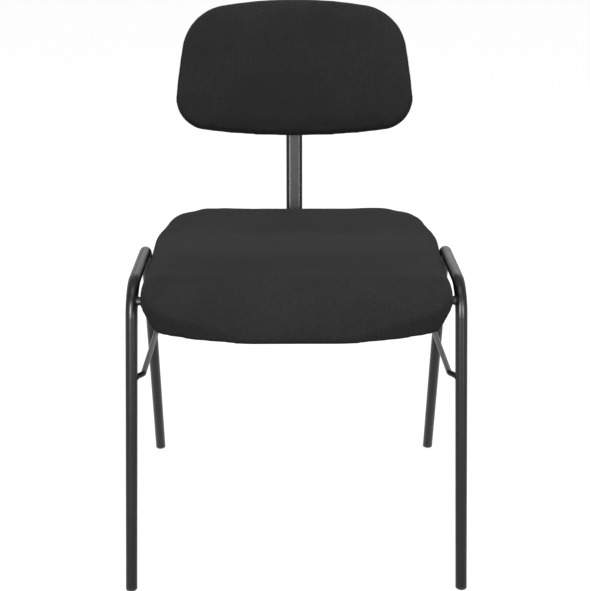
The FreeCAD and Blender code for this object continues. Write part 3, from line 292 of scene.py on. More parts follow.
def makePlywood(look):
    material, tree, shader, where = startMaterial("beechPlywood")
    stretch = addNode(tree, "ShaderNodeMapping")
    stretch.inputs["Scale"].default_value = (1.0, look["drawnOut"], 1.0)
    feed(tree, where.outputs["Object"], stretch.inputs["Vector"])
    figure = noiseNode(tree, stretch.outputs[0], look["figure"], detail=6.0, rough=0.6)
    fleck = noiseNode(tree, stretch.outputs[0], look["fleck"])
    figure = mathNode(tree, "MULTIPLY", figure, 1.0 - look["fleckShare"])
    both = mathNode(tree, "MULTIPLY_ADD", fleck, look["fleckShare"], figure)
    blendColors(tree, both, look["dark"], look["light"], shader.inputs["Base Color"])
    rangeTo(tree, fleck, look["rough"], shader.inputs["Roughness"])
    bumpTo(tree, shader, fleck, look["relief"])
    return material


finishes["beechPlywood"] = makePlywood(plywoodLook)


# Black flat-woven cloth of both cushions
clothLook = {
    "low": (0.023, 0.023, 0.024), "high": (0.042, 0.042, 0.043), "pitch": 0.0010, "slub": 0.35,
    "relief": 0.00022, "rough": (0.86, 0.97), "sheen": 0.04, "sheenRough": 0.45, "level": 0.05,
    "dust": 0.5,
    "yarnAndGapShadeShare": 0.62,  # how much lighter a yarn's crown is than the gap beside it: painted shade in the gaps, with the yarns' own random slub tone
    "paintedLightBand": 0.60,  # strength of the painted light band on the seat: painted sheen lightens the cloth, painted shade darkens it
}


def makeCloth(look):
    material, tree, shader, where = startMaterial("blackWeave")
    weave = placeGroup(tree, weaveGroup, where.outputs["UV"], Pitch=look["pitch"], Slub=look["slub"])
    dust = placeGroup(tree, dustGroup, where.outputs["Object"], Amount=look["dust"])
    paintedLightBand = addNode(tree, "ShaderNodeAttribute", attribute_name="paintedLightBand")
    # painted shade in the weave's gaps, with random yarn tone, sets the cloth's colour
    tone = mathNode(tree, "MULTIPLY_ADD", weave.outputs["YarnAndGapShade"], look["yarnAndGapShadeShare"], dust.outputs["Mask"])
    # painted sheen and painted shade: the seat's painted light band, stored on its points, lightens or
    # darkens the cloth's colour
    tone = mathNode(tree, "MULTIPLY_ADD", paintedLightBand.outputs["Fac"], look["paintedLightBand"], tone)
    blendColors(tree, tone, look["low"], look["high"], shader.inputs["Base Color"])
    rangeTo(tree, weave.outputs["YarnAndGapShade"], look["rough"], shader.inputs["Roughness"])
    shader.inputs["Specular IOR Level"].default_value = look["level"]
    shader.inputs["Sheen Weight"].default_value = look["sheen"]
    shader.inputs["Sheen Roughness"].default_value = look["sheenRough"]
    bumpTo(tree, shader, weave.outputs["Height"], look["relief"])
    return material


finishes["blackWeave"] = makeCloth(clothLook)


# Which finish each CAD node wears
nodeFinish = {
    "framePaint": [
        "left_side_frame", "right_side_frame", "front_cross_tube", "rear_cross_tube", "left_side_rod",
        "right_side_rod", "back_post", "front_seat_tabs", "rear_seat_tabs", "rear_seat_bracket",
        "backrest_bracket"],
    "castPaint": ["back_carriage"],
    "shellPlastic": ["backrest_shell"],
    "blackPlastic": [
        "post_top_cap", "post_front_cap", "left_front_glide", "left_rear_glide", "right_front_glide",
        "right_rear_glide", "clamp_shoe"],
    "knobPlastic": ["clamp_knob"],
    "blackRubber": ["hinge_bush", "tilt_buffers"],
    "zincSteel": [
        "seat_inserts", "seat_screws", "knob_stem", "pivot_pin", "backrest_inserts", "backrest_screws"],
    "beechPlywood": ["seat_board", "backrest_board"],
    "blackWeave": ["seat_cushion", "backrest_cushion"],
}


def dress(data, finish):
    data.materials.clear()
    data.materials.append(finishes[finish])


def dressNodes():
    for finish, names in nodeFinish.items():
        for name in names:
            dress(nodes[name].data, finish)


dressNodes()
print("materials placed:", len(finishes))


# Mesh helpers
def linkMesh(name, data):
    piece = bpy.data.objects.new(name, data)
    scene.collection.objects.link(piece)
    return piece


def mergedNode(nodeName, reach=0.00002):
    # the node's loose triangles, merged into one skin
    work = bmesh.new()
    work.from_mesh(nodes[nodeName].data)
    bmesh.ops.remove_doubles(work, verts=work.verts, dist=reach)
    return work


def copyOfNode(nodeName, name):
    work = mergedNode(nodeName)
    data = bpy.data.meshes.new(name)
    work.to_mesh(data)
    work.free()
    return linkMesh(name, data)


def treeOf(piece):
    work = bmesh.new()
    work.from_mesh(piece.data)
    tree = BVHTree.FromBMesh(work)
    work.free()
    return tree


def coordinates(data):
    flat = np.empty(len(data.vertices) * 3)
    data.vertices.foreach_get("co", flat)
    return flat.reshape(-1, 3)


def setCoordinates(data, points):
    data.vertices.foreach_set("co", np.ascontiguousarray(points, dtype=np.float32).ravel())
    data.update()


def normalsOf(data):
    return np.array([vertex.normal for vertex in data.vertices])


def edgePairs(data):
    flat = np.empty(len(data.edges) * 2, dtype=np.int64)
    data.edges.foreach_get("vertices", flat)
    return flat.reshape(-1, 2)


def averaged(values, edges, rounds):
    # spreads each value over its neighbours
    count = np.zeros(len(values))
    np.add.at(count, edges.ravel(), 1)
    for _ in range(rounds):
        total = np.zeros_like(values)
        np.add.at(total, edges[:, 0], values[edges[:, 1]])
        np.add.at(total, edges[:, 1], values[edges[:, 0]])
        values = 0.5 * values + 0.5 * total / np.maximum(count, 1)[:, None]
    return values


def bakeModifiers(piece):
    graph = bpy.context.evaluated_depsgraph_get()
    graph.update()
    data = bpy.data.meshes.new_from_object(piece.evaluated_get(graph))
    piece.modifiers.clear()
    old = piece.data
    piece.data = data
    bpy.data.meshes.remove(old)


def wearCloth(data, across, run):
    # the woven cloth, smooth, with each point's UV in metres across and along it
    dress(data, "blackWeave")
    data.polygons.foreach_set("use_smooth", [True] * len(data.polygons))
    layer = data.uv_layers.new(name="cloth")
    corner = np.empty(len(data.loops), dtype=np.int64)
    data.loops.foreach_get("vertex_index", corner)
    layer.data.foreach_set("uv", np.stack([across[corner], run[corner]], axis=1).astype(np.float32).ravel())


# Cushions
seatPad = {
    "voxel": 0.0045, "drawnIn": 0.0012, "pressure": 4.0, "mostSwell": 0.0032, "held": 0.0022,
    "firmness": 22.0, "frames": 20, "fullness": 0.0022, "fill": 0.85,
}
backPad = {
    "voxel": 0.0042, "drawnIn": 0.0010, "pressure": 4.0, "mostSwell": 0.0028, "held": 0.0022,
    "firmness": 26.0, "frames": 20, "fullness": 0.0017, "fill": 0.85,
}
clothRun = {"quality": 5, "mass": 0.3, "bending": 2.0, "fadeRounds": 6, "evenRounds": 4}


def runCloth(piece, held, look):
    # where the points end once the cloth is pressed out, with those on the board held
    group = piece.vertex_groups.new(name="held")
    group.add([int(index) for index in np.nonzero(held)[0]], 1.0, "REPLACE")
    cloth = piece.modifiers.new("swell", "CLOTH")
    rules = cloth.settings
    rules.quality = clothRun["quality"]
    rules.mass = clothRun["mass"]
    rules.tension_stiffness = look["firmness"]
    rules.compression_stiffness = look["firmness"]
    rules.shear_stiffness = look["firmness"] / 2
    rules.bending_stiffness = clothRun["bending"]
    rules.use_pressure = True
    rules.uniform_pressure_force = look["pressure"]
    rules.effector_weights.gravity = 0.0
    rules.vertex_group_mass = "held"
    cloth.collision_settings.use_collision = False
    cloth.point_cache.frame_start = 1
    cloth.point_cache.frame_end = look["frames"]
    for step in range(1, look["frames"] + 1):
        scene.frame_set(step)
    graph = bpy.context.evaluated_depsgraph_get()
    swollen = bpy.data.meshes.new_from_object(piece.evaluated_get(graph))
    ends = coordinates(swollen)
    bpy.data.meshes.remove(swollen)
    piece.modifiers.clear()
    piece.vertex_groups.clear()
    scene.frame_set(1)
    return ends


def swellCushion(nodeName, name, carriers, look):
    # voxel skin of the solid, drawn in a little, then pressed out by a cloth run
    piece = copyOfNode(nodeName, name)
    solid = treeOf(piece)
    remesh = piece.modifiers.new("voxels", "REMESH")
    remesh.mode = "VOXEL"
    remesh.voxel_size = look["voxel"]
    remesh.adaptivity = 0.0
    bakeModifiers(piece)
    data = piece.data
    points = np.array([solid.find_nearest(Vector(point))[0] for point in coordinates(data)])
    setCoordinates(data, points)
    normals = normalsOf(data)
    trees = [treeOf(nodes[carrier]) for carrier in carriers]
    held = np.array([
        min(tree.find_nearest(Vector(point))[3] for tree in trees) < look["held"] for point in points])
    edges = edgePairs(data)
    weight = averaged((~held).astype(float)[:, None], edges, clothRun["fadeRounds"])[:, 0]
    start = points - normals * (look["drawnIn"] * weight)[:, None]
    setCoordinates(data, start)
    moved = runCloth(piece, held, look) - start
    length = np.linalg.norm(moved, axis=1)
    kept = look["mostSwell"] * np.tanh(length / look["mostSwell"])
    moved *= (kept / np.maximum(length, 1e-9))[:, None]
    moved = averaged(moved, edges, clothRun["evenRounds"])
    moved += normals * (look["fullness"] * weight)[:, None]
    moved[held] = 0.0
    print(name, "swelled by up to", round(float(np.abs(moved).max()) * 1000, 2), "mm")
    setCoordinates(data, start + moved)
    finer = piece.modifiers.new("finer", "SUBSURF")
    finer.levels = 1
    finer.render_levels = 1
    bakeModifiers(piece)
    return piece


def pressHollow(piece, look):
    # a shallow hollow across the seat, longer to the front, fading to the sides
    points = coordinates(piece.data)
    across = np.exp(-(points[:, 0] / look["halfWidth"]) ** 4)
    away = points[:, 1] - look["reach"]
    along = np.exp(-(away / np.where(away > 0, look["rearRun"], look["frontRun"])) ** 2)
    top = np.clip((points[:, 2] - look["below"]) / look["fade"], 0.0, 1.0)
    points[:, 2] -= look["depth"] * across * along * top
    setCoordinates(piece.data, points)


def fillRearSides(piece, look):
    # the foam stands a little fuller at the rear, more on one side, as in the photograph
    points = coordinates(piece.data)
    rear = np.clip((points[:, 1] - look["from"]) / look["run"], 0.0, 1.0)
    rear = rear * rear * (3.0 - 2.0 * rear)
    for side, push in ((1.0, look["right"]), (-1.0, look["left"])):
        share = np.clip(points[:, 0] * side / look["halfWidth"], 0.0, 1.0) ** 2
        points[:, 0] += side * push * share * rear
    setCoordinates(piece.data, points)


def pressDimples(piece, look):
    # faint dents that cloth keeps where it was drawn down over the foam
    points = coordinates(piece.data)
    normals = normalsOf(piece.data)
    front = np.clip(-normals[:, 1], 0.0, 1.0)
    for wide, high in look["places"]:
        far = np.hypot(points[:, 0] - wide, points[:, 2] - high) / look["reach"]
        points += normals * (-look["depth"] * np.exp(-far ** 2) * front)[:, None]
    setCoordinates(piece.data, points)


def paintLightBand(piece, look):
    # painted light on the seat cloth: a lighter band of painted sheen and, further forwards, a darker band of
    # painted shade, both fading to the sides
    points = coordinates(piece.data)
    sides = np.exp(-(points[:, 0] / look["halfWidth"]) ** 4)
    sheenBand = np.exp(-((points[:, 1] - look["sheenBand"]) / look["sheenBandRun"]) ** 4)
    shadeBand = np.exp(-((points[:, 1] - look["shadeBand"]) / look["shadeBandRun"]) ** 4)
    paintedLightBand = piece.data.attributes.new("paintedLightBand", "FLOAT", "POINT")
    paintedLightBand.data.foreach_set("value", (sides * (sheenBand - look["shadeBandShare"] * shadeBand)).astype(np.float32))


def unrollCloth(piece, along):
    # across by x, along by the run of the cushion's side view, with the side walls folded flat
    points = coordinates(piece.data)
    normals = normalsOf(piece.data)
    run, drop = along(points, normals)
    steep = np.abs(normals[:, 0]) / np.maximum(np.abs(normals).sum(axis=1), 1e-6)
    wearCloth(piece.data, points[:, 0] + np.sign(points[:, 0]) * steep * drop, run)


padLean = math.radians(12.0)  # how far the post and the pad lean back
noseTurn = {"reach": -0.2053, "height": 0.3967, "radius": 0.0915}
crest = {"halfWidth": 0.02, "leastUp": 0.3}  # the strip of cover whose heights give the top edge
padFront = 0.02  # depth of the pad that counts as its front


def seatRun(points, normals):
    # arc length over the saddle and the nose, then down the rear wall
    flat = points[:, 1] - noseTurn["reach"]
    angle = np.arctan2(-flat, points[:, 2] - noseTurn["height"])
    run = np.where(flat > 0, flat, -noseTurn["radius"] * angle)
    near = (np.abs(points[:, 0]) < crest["halfWidth"]) & (normals[:, 2] > crest["leastUp"])
    order = np.argsort(points[near, 1])
    heights = np.interp(points[:, 1], points[near, 1][order], points[near, 2][order])
    drop = np.clip(heights - points[:, 2], 0.0, None)
    return run + drop * np.clip(normals[:, 1], 0.0, 1.0), drop


def backRun(points, normals):
    # up the leaning pad, with its walls folded outwards
    rise = points[:, 2] * math.cos(padLean) + points[:, 1] * math.sin(padLean)
    depth = points[:, 1] * math.cos(padLean) - points[:, 2] * math.sin(padLean)
    drop = np.clip(depth - depth.min() - padFront, 0.0, None)
    return rise + drop * normals[:, 2], drop


seatHollow = {
    "reach": -0.078, "rearRun": 0.055, "frontRun": 0.085, "halfWidth": 0.185, "depth": 0.0045,
    "below": 0.462, "fade": 0.008,
}
seatFullness = {"from": -0.13, "run": 0.16, "halfWidth": 0.19, "right": 0.0045, "left": 0.0005}  # right is +X
# where the seat's painted sheen band and painted shade band lie, and how wide they run
seatLightBand = {
    "sheenBand": -0.028, "sheenBandRun": 0.042, "shadeBand": -0.150, "shadeBandRun": 0.060, "shadeBandShare": 0.6, "halfWidth": 0.19,
}
backDimples = {"places": [(-0.150, 0.768), (0.150, 0.768)], "reach": 0.012, "depth": 0.0007}
seatCover = swellCushion("seat_cushion", "seatCover", ["seat_board"], seatPad)
pressHollow(seatCover, seatHollow)
fillRearSides(seatCover, seatFullness)
# painted sheen and painted shade across the seat cloth
paintLightBand(seatCover, seatLightBand)
unrollCloth(seatCover, seatRun)
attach(seatCover, "frame")
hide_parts("seat_cushion")
print("seat cover made:", len(seatCover.data.polygons), "faces")

backCover = swellCushion("backrest_cushion", "backCover", ["backrest_board", "backrest_shell"], backPad)
pressDimples(backCover, backDimples)
unrollCloth(backCover, backRun)
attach(backCover, "backrest")
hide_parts("backrest_cushion")
print("back cover made:", len(backCover.data.polygons), "faces")


# Small parts set out with Geometry Nodes
def socketOf(tree, name):
    for item in tree.interface.items_tree:
        if item.item_type == "SOCKET" and item.in_out == "INPUT" and item.name == name:
            return item.identifier


def newShapeTree(name, inputs):
    return newTree(
        name, "GeometryNodeTree", [("Geometry", "NodeSocketGeometry", None), *inputs],
        [("Geometry", "NodeSocketGeometry")])


def packed(tree, values):
    made = addNode(tree, "ShaderNodeCombineXYZ")
    for socket, value in zip(made.inputs, values):
        setSocket(tree, socket, value)
    return made.outputs[0]


def shapeNode(tree, kind, **sizes):
    made = addNode(tree, kind)
    for key, value in sizes.items():
        setSocket(tree, made.inputs[key], value)
    return made.outputs[0]


def transformed(tree, shape, **vectors):
    made = addNode(tree, "GeometryNodeTransform")
    feed(tree, shape, made.inputs["Geometry"])
    for key, values in vectors.items():
        feed(tree, packed(tree, values), made.inputs[key])
    return made.outputs[0]


def setOut(tree, into, out, shape, size=None):
    # one shape on every point, its Z along "up" and its X along "along"; then real, with a material
    up = addNode(tree, "GeometryNodeInputNamedAttribute", data_type="FLOAT_VECTOR")
    up.inputs["Name"].default_value = "up"
    along = addNode(tree, "GeometryNodeInputNamedAttribute", data_type="FLOAT_VECTOR")
    along.inputs["Name"].default_value = "along"
    turns = addNode(tree, "FunctionNodeAxesToRotation", primary_axis="Z", secondary_axis="X")
    feed(tree, up.outputs["Attribute"], turns.inputs["Primary Axis"])
    feed(tree, along.outputs["Attribute"], turns.inputs["Secondary Axis"])
    place = addNode(tree, "GeometryNodeInstanceOnPoints")
    feed(tree, into.outputs["Geometry"], place.inputs["Points"])
    feed(tree, shape, place.inputs["Instance"])
    feed(tree, turns.outputs[0], place.inputs["Rotation"])
    if size:
        feed(tree, size, place.inputs["Scale"])
    real = addNode(tree, "GeometryNodeRealizeInstances")
    feed(tree, place.outputs[0], real.inputs[0])
    smooth = addNode(tree, "GeometryNodeSetShadeSmooth")
    feed(tree, real.outputs[0], smooth.inputs[0])
    wear = addNode(tree, "GeometryNodeSetMaterial")
    feed(tree, smooth.outputs[0], wear.inputs[0])
    feed(tree, into.outputs["Material"], wear.inputs["Material"])
    feed(tree, wear.outputs[0], out.inputs[0])


def makeWeldTree():
    # overlapping drops of weld along a seam, each a little larger or smaller
    tree, into, out = newShapeTree("weldDrops", [
        ("Length", "NodeSocketFloat", 0.003), ("Width", "NodeSocketFloat", 0.0022),
        ("Height", "NodeSocketFloat", 0.0016), ("Uneven", "NodeSocketFloat", 0.15),
        ("Seed", "NodeSocketInt", 3), ("Material", "NodeSocketMaterial", None)])
    ball = shapeNode(tree, "GeometryNodeMeshUVSphere", Segments=10, Rings=7, Radius=0.5)
    drop = transformed(tree, ball, Scale=[into.outputs[key] for key in ("Length", "Width", "Height")])
    chance = addNode(tree, "FunctionNodeRandomValue", data_type="FLOAT")
    ends = [socket for socket in chance.inputs if socket.type == "VALUE" and socket.enabled]
    feed(tree, mathNode(tree, "SUBTRACT", 1.0, into.outputs["Uneven"]), ends[0])
    feed(tree, mathNode(tree, "ADD", 1.0, into.outputs["Uneven"]), ends[1])
    feed(tree, into.outputs["Seed"], chance.inputs["Seed"])
    result = [socket for socket in chance.outputs if socket.enabled][0]
    setOut(tree, into, out, drop, result)
    return tree


def makeStapleTree():
    # a staple's crown: a wire that bows up a little and dives into the cloth at both ends
    tree, into, out = newShapeTree("stapleCrowns", [
        ("Length", "NodeSocketFloat", 0.010), ("Wire", "NodeSocketFloat", 0.0006),
        ("Dive", "NodeSocketFloat", 0.0016), ("Material", "NodeSocketMaterial", None)])
    riseShare = 0.55  # of the dive
    half = mathNode(tree, "MULTIPLY", into.outputs["Length"], 0.5)
    back = mathNode(tree, "MULTIPLY", half, -1.0)
    down = mathNode(tree, "MULTIPLY", into.outputs["Dive"], -1.0)
    lift = mathNode(tree, "MULTIPLY", into.outputs["Dive"], riseShare)
    bow = addNode(tree, "GeometryNodeCurvePrimitiveBezierSegment", mode="POSITION")
    bow.inputs["Resolution"].default_value = 10
    feed(tree, packed(tree, (back, 0.0, down)), bow.inputs["Start"])
    feed(tree, packed(tree, (back, 0.0, lift)), bow.inputs["Start Handle"])
    feed(tree, packed(tree, (half, 0.0, lift)), bow.inputs["End Handle"])
    feed(tree, packed(tree, (half, 0.0, down)), bow.inputs["End"])
    ring = shapeNode(tree, "GeometryNodeCurvePrimitiveCircle", Resolution=6, Radius=into.outputs["Wire"])
    wire = addNode(tree, "GeometryNodeCurveToMesh")
    wire.inputs["Fill Caps"].default_value = True
    feed(tree, bow.outputs[0], wire.inputs["Curve"])
    feed(tree, ring, wire.inputs["Profile Curve"])
    setOut(tree, into, out, wire.outputs[0])
    return tree


def makeScrewTree():
    # a domed head with a six-sided socket on a plain shank, seated at the point
    tree, into, out = newShapeTree("domedScrews", [
        ("Head", "NodeSocketFloat", 0.0095), ("Height", "NodeSocketFloat", 0.0028),
        ("Shank", "NodeSocketFloat", 0.005), ("Length", "NodeSocketFloat", 0.012),
        ("Socket", "NodeSocketFloat", 0.003), ("Material", "NodeSocketMaterial", None)])
    sinkShare = 0.9  # the socket's middle, of the head's height
    wide, height, length = (into.outputs[key] for key in ("Head", "Height", "Length"))
    ball = shapeNode(tree, "GeometryNodeMeshUVSphere", Segments=32, Rings=20, Radius=0.5)
    tall = mathNode(tree, "MULTIPLY", height, 2.0)
    flatBall = transformed(tree, ball, Scale=(wide, wide, tall))
    block = shapeNode(tree, "GeometryNodeMeshCylinder", Vertices=32, Radius=wide, Depth=tall)
    raised = transformed(tree, block, Translation=(0.0, 0.0, height))
    dome = addNode(tree, "GeometryNodeMeshBoolean", operation="INTERSECT", solver="EXACT")
    feed(tree, flatBall, dome.inputs["Mesh 2"])
    feed(tree, raised, dome.inputs["Mesh 2"])
    corner = mathNode(tree, "DIVIDE", into.outputs["Socket"], math.sqrt(3.0))
    hexagon = shapeNode(tree, "GeometryNodeMeshCylinder", Vertices=6, Radius=corner, Depth=height)
    sunk = transformed(tree, hexagon, Translation=(0.0, 0.0, mathNode(tree, "MULTIPLY", height, sinkShare)))
    head = addNode(tree, "GeometryNodeMeshBoolean", operation="DIFFERENCE", solver="EXACT")
    feed(tree, dome.outputs["Mesh"], head.inputs["Mesh 1"])
    feed(tree, sunk, head.inputs["Mesh 2"])
    thick = mathNode(tree, "MULTIPLY", into.outputs["Shank"], 0.5)
    shank = shapeNode(tree, "GeometryNodeMeshCylinder", Vertices=20, Radius=thick, Depth=length)
    hung = transformed(tree, shank, Translation=(0.0, 0.0, mathNode(tree, "MULTIPLY", length, -0.5)))
    both = addNode(tree, "GeometryNodeJoinGeometry")
    feed(tree, head.outputs["Mesh"], both.inputs[0])
    feed(tree, hung, both.inputs[0])
    setOut(tree, into, out, both.outputs[0])
    return tree


weldTree = makeWeldTree()
stapleTree = makeStapleTree()
screwTree = makeScrewTree()


def setPieces(name, tree, points, ups, alongs, finish, **values):
    # a mesh of bare points, the tree's modifier with its inputs, then the plain result
    data = bpy.data.meshes.new(name)
    data.from_pydata([tuple(point) for point in points], [], [])
    for key, rows in (("up", ups), ("along", alongs)):
        field = data.attributes.new(key, "FLOAT_VECTOR", "POINT")
        field.data.foreach_set("vector", np.array(rows, dtype=np.float32).ravel())
    piece = linkMesh(name, data)
    modifier = piece.modifiers.new("setOut", "NODES")
    modifier.node_group = tree
    modifier[socketOf(tree, "Material")] = finishes[finish]
    for key, value in values.items():
        modifier[socketOf(tree, key)] = value
    bakeModifiers(piece)
    return piece


# Weld beads where the tubes, rods and tabs meet
weldLook = {"Length": 0.0034, "Width": 0.0026, "Height": 0.0020, "Uneven": 0.16}
weldSeams = {
    "step": 0.0013, "touch": 0.00012,
    "tubeRim": 0.86, "rodRim": 0.6,  # shares of an end's widest radius that count as its rim
    "spineHalf": 0.0095, "spineOut": 0.0031, "spineRise": 0.0004, "tubeRadius": 0.006,
    "tabMiddle": 0.12, "tabHalf": 0.0105, "tabIn": 0.001, "tabRise": 0.003,
}


def touching(nodeName, otherName, reach):
    # the node's corners that lie on the other node's skin, with doubles left out
    points = np.unique(np.round(coordinates(nodes[nodeName].data), 6), axis=0)
    tree = treeOf(nodes[otherName])
    near = [tree.find_nearest(Vector(point))[3] for point in points]
    return points[np.array(near) < reach]


def evenly(points, step, closed):
    # the same line with its points a step apart
    if closed:
        points = np.vstack([points, points[:1]])
    runs = np.concatenate([[0.0], np.cumsum(np.linalg.norm(np.diff(points, axis=0), axis=1))])
    count = max(3, int(round(runs[-1] / step)))
    marks = np.linspace(0.0, runs[-1], count, endpoint=not closed)
    return np.stack([np.interp(marks, runs, points[:, axis]) for axis in range(3)], axis=1)


def endRim(points, share):
    # the rim of a bar's end, in order round the bar
    spread = points - points.mean(axis=0)
    axes = np.linalg.svd(spread, full_matrices=False)[2]
    flat = spread @ axes[:2].T
    order = np.argsort(np.arctan2(flat[:, 1], flat[:, 0]))
    far = np.hypot(flat[:, 0], flat[:, 1])[order]
    return points[order][far > share * far.max()]


def seamRows(seam, closed, middle):
    # places, ways out and ways along of the drops, with "out" away from the middle
    line = evenly(np.array(seam, dtype=float), weldSeams["step"], closed)
    if closed:
        ahead = np.roll(line, -1, axis=0) - np.roll(line, 1, axis=0)
    else:
        ahead = np.gradient(line, axis=0)
    ahead /= np.linalg.norm(ahead, axis=1)[:, None]
    up = line - middle
    up -= ahead * (up * ahead).sum(axis=1)[:, None]
    return line, up / np.linalg.norm(up, axis=1)[:, None], ahead


def makeWelds(look):
    rows = []
    for side, word in ((-1, "left"), (1, "right")):
        for tube in ("front_cross_tube", "rear_cross_tube"):
            contact = touching(tube, word + "_side_frame", look["touch"])
            seam = endRim(contact[contact[:, 0] * side > 0], look["tubeRim"])
            rows.append(seamRows(seam, True, seam.mean(axis=0)))
        contact = touching(word + "_side_rod", word + "_side_frame", look["touch"])
        split = contact[:, 1].mean()
        for end in (contact[contact[:, 1] < split], contact[contact[:, 1] > split]):
            rows.append(seamRows(endRim(end, look["rodRim"]), True, end.mean(axis=0)))
    # fillets in the nooks between the spine and the two cross tubes it passes under
    for tube in ("front_cross_tube", "rear_cross_tube"):
        low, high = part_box(tube)
        reach = (low[1] + high[1]) / 2
        for way in (-1, 1):
            seam = [(wide, reach + way * look["spineOut"], low[2] + look["spineRise"])
                    for wide in (-look["spineHalf"], look["spineHalf"])]
            rows.append(seamRows(seam, False, (0.0, reach, low[2] + look["tubeRadius"])))
    # under the tabs, along the tube they are welded to
    for tabs, tube in (("front_seat_tabs", "front_cross_tube"), ("rear_seat_tabs", "rear_cross_tube")):
        contact = touching(tabs, tube, look["touch"])
        lowest = contact[contact[:, 2] < contact[:, 2].mean()].mean(axis=0)
        for side in (-1, 1):
            seam = [(side * (look["tabMiddle"] + half), lowest[1], lowest[2])
                    for half in (-look["tabHalf"], look["tabHalf"])]
            middle = (side * look["tabMiddle"], lowest[1] - look["tabIn"], lowest[2] + look["tabRise"])
            rows.append(seamRows(seam, False, middle))
    points, ups, alongs = (np.vstack([row[part] for row in rows]) for part in range(3))
    return setPieces("weldBeads", weldTree, points, ups, alongs, "framePaint", **weldLook)


welds = makeWelds(weldSeams)
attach(welds, "frame")
print("weld beads made:", len(welds.data.polygons), "faces")


# Screws: places and ways from the solids they stand for
screwLook = {"Head": 0.0095, "Height": 0.0028, "Shank": 0.005, "Socket": 0.003}
headTop = 0.0001  # depth of the head's top whose corners give its middle
socketWay = (0.0, 1.0, 0.3)  # which way the sockets are turned


def loosePieces(nodeName):
    # each solid's corners, sorted by the solid's middle
    work = mergedNode(nodeName)
    left = dict.fromkeys(work.verts)  # keeps its order, so each run is the same
    found = []
    while left:
        stack = [left.popitem()[0]]
        group = []
        while stack:
            vertex = stack.pop()
            group.append(tuple(vertex.co))
            for edge in vertex.link_edges:
                other = edge.other_vert(vertex)
                if other in left:
                    left.pop(other)
                    stack.append(other)
        found.append(np.array(group))
    work.free()
    found.sort(key=lambda group: tuple(np.round(group.mean(axis=0), 4)))
    return found


def makeScrews(name, nodeName, headWay, look):
    # each screw stands where its solid does, with its head's seat at the point
    points, lengths = [], []
    tall = np.array(headWay) / np.linalg.norm(headWay)
    for solid in loosePieces(nodeName):
        rise = (solid - (solid.min(axis=0) + solid.max(axis=0)) / 2) @ tall
        points.append(solid[rise > rise.max() - headTop].mean(axis=0) - tall * look["Height"])
        lengths.append(rise.max() - rise.min() - look["Height"])
    ups = [tall] * len(points)
    alongs = [np.cross(tall, socketWay)] * len(points)
    return setPieces(
        name, screwTree, points, ups, alongs, "zincSteel", Length=float(np.mean(lengths)), **look)


backScrews = makeScrews(
    "backrestScrews", "backrest_screws", (0.0, math.cos(padLean), -math.sin(padLean)), screwLook)
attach(backScrews, "backrest")
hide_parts("backrest_screws")
seatScrews = makeScrews("seatScrews", "seat_screws", (0.0, 0.0, -1.0), screwLook)
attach(seatScrews, "frame")
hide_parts("seat_screws")
print("screws made:", len(backScrews.data.polygons) + len(seatScrews.data.polygons), "faces")


# Hem of the cover, drawn round the board's edge and stapled under it
hemLook = {
    "marks": 360, "steps": (0.0, 0.004, 0.006, 0.006, 0.005, 0.002),
    "lift": (0.0004, 0.0012, 0.0010, 0.0012, 0.0010, 0.0003), "overlap": 0.0035,
    "evenRounds": 2, "pleats": 46, "pleat": 0.0006, "deepest": 0.0002,
    "sways": 3, "sway": 1.7,  # the pleats crowd and spread as they go round
    "facing": 0.8,  # how squarely a face looks down to count as the underside
}
stapleLook = {"row": 2, "apart": 0.030, "lift": 0.0016, "tilt": 0.25}


def undersideOf(nodeName, facing):
    # the board's hollow side alone: faces that look down or towards the nose's centre
    work = mergedNode(nodeName)
    gone = []
    for face in work.faces:
        middle = face.calc_center_median()
        inward = Vector((0.0, 0.0, -1.0))
        if middle.y <= noseTurn["reach"]:
            inward = Vector((0.0, noseTurn["reach"] - middle.y, noseTurn["height"] - middle.z)).normalized()
        if face.normal.dot(inward) <= facing:
            gone.append(face)
    bmesh.ops.delete(work, geom=gone, context="FACES")
    return work


def rimLoop(work):
    # the longest open edge loop, in order, from the same corner in each run
    border = dict.fromkeys(edge for edge in work.edges if len(edge.link_faces) == 1)
    loops = []
    while border:
        first, here = border.popitem()[0].verts
        loop = [first, here]
        while here is not first:
            following = [item for item in here.link_edges if item in border]
            if not following:
                break
            border.pop(following[0])
            here = following[0].other_vert(here)
            loop.append(here)
        loops.append(np.array([tuple(vertex.co) for vertex in loop[:-1]]))
    return max(loops, key=lambda loop: np.linalg.norm(np.diff(loop, axis=0), axis=1).sum())


def averagedRound(points, rounds):
    for _ in range(rounds):
        points = 0.5 * points + 0.25 * (np.roll(points, 1, axis=0) + np.roll(points, -1, axis=0))
    return points


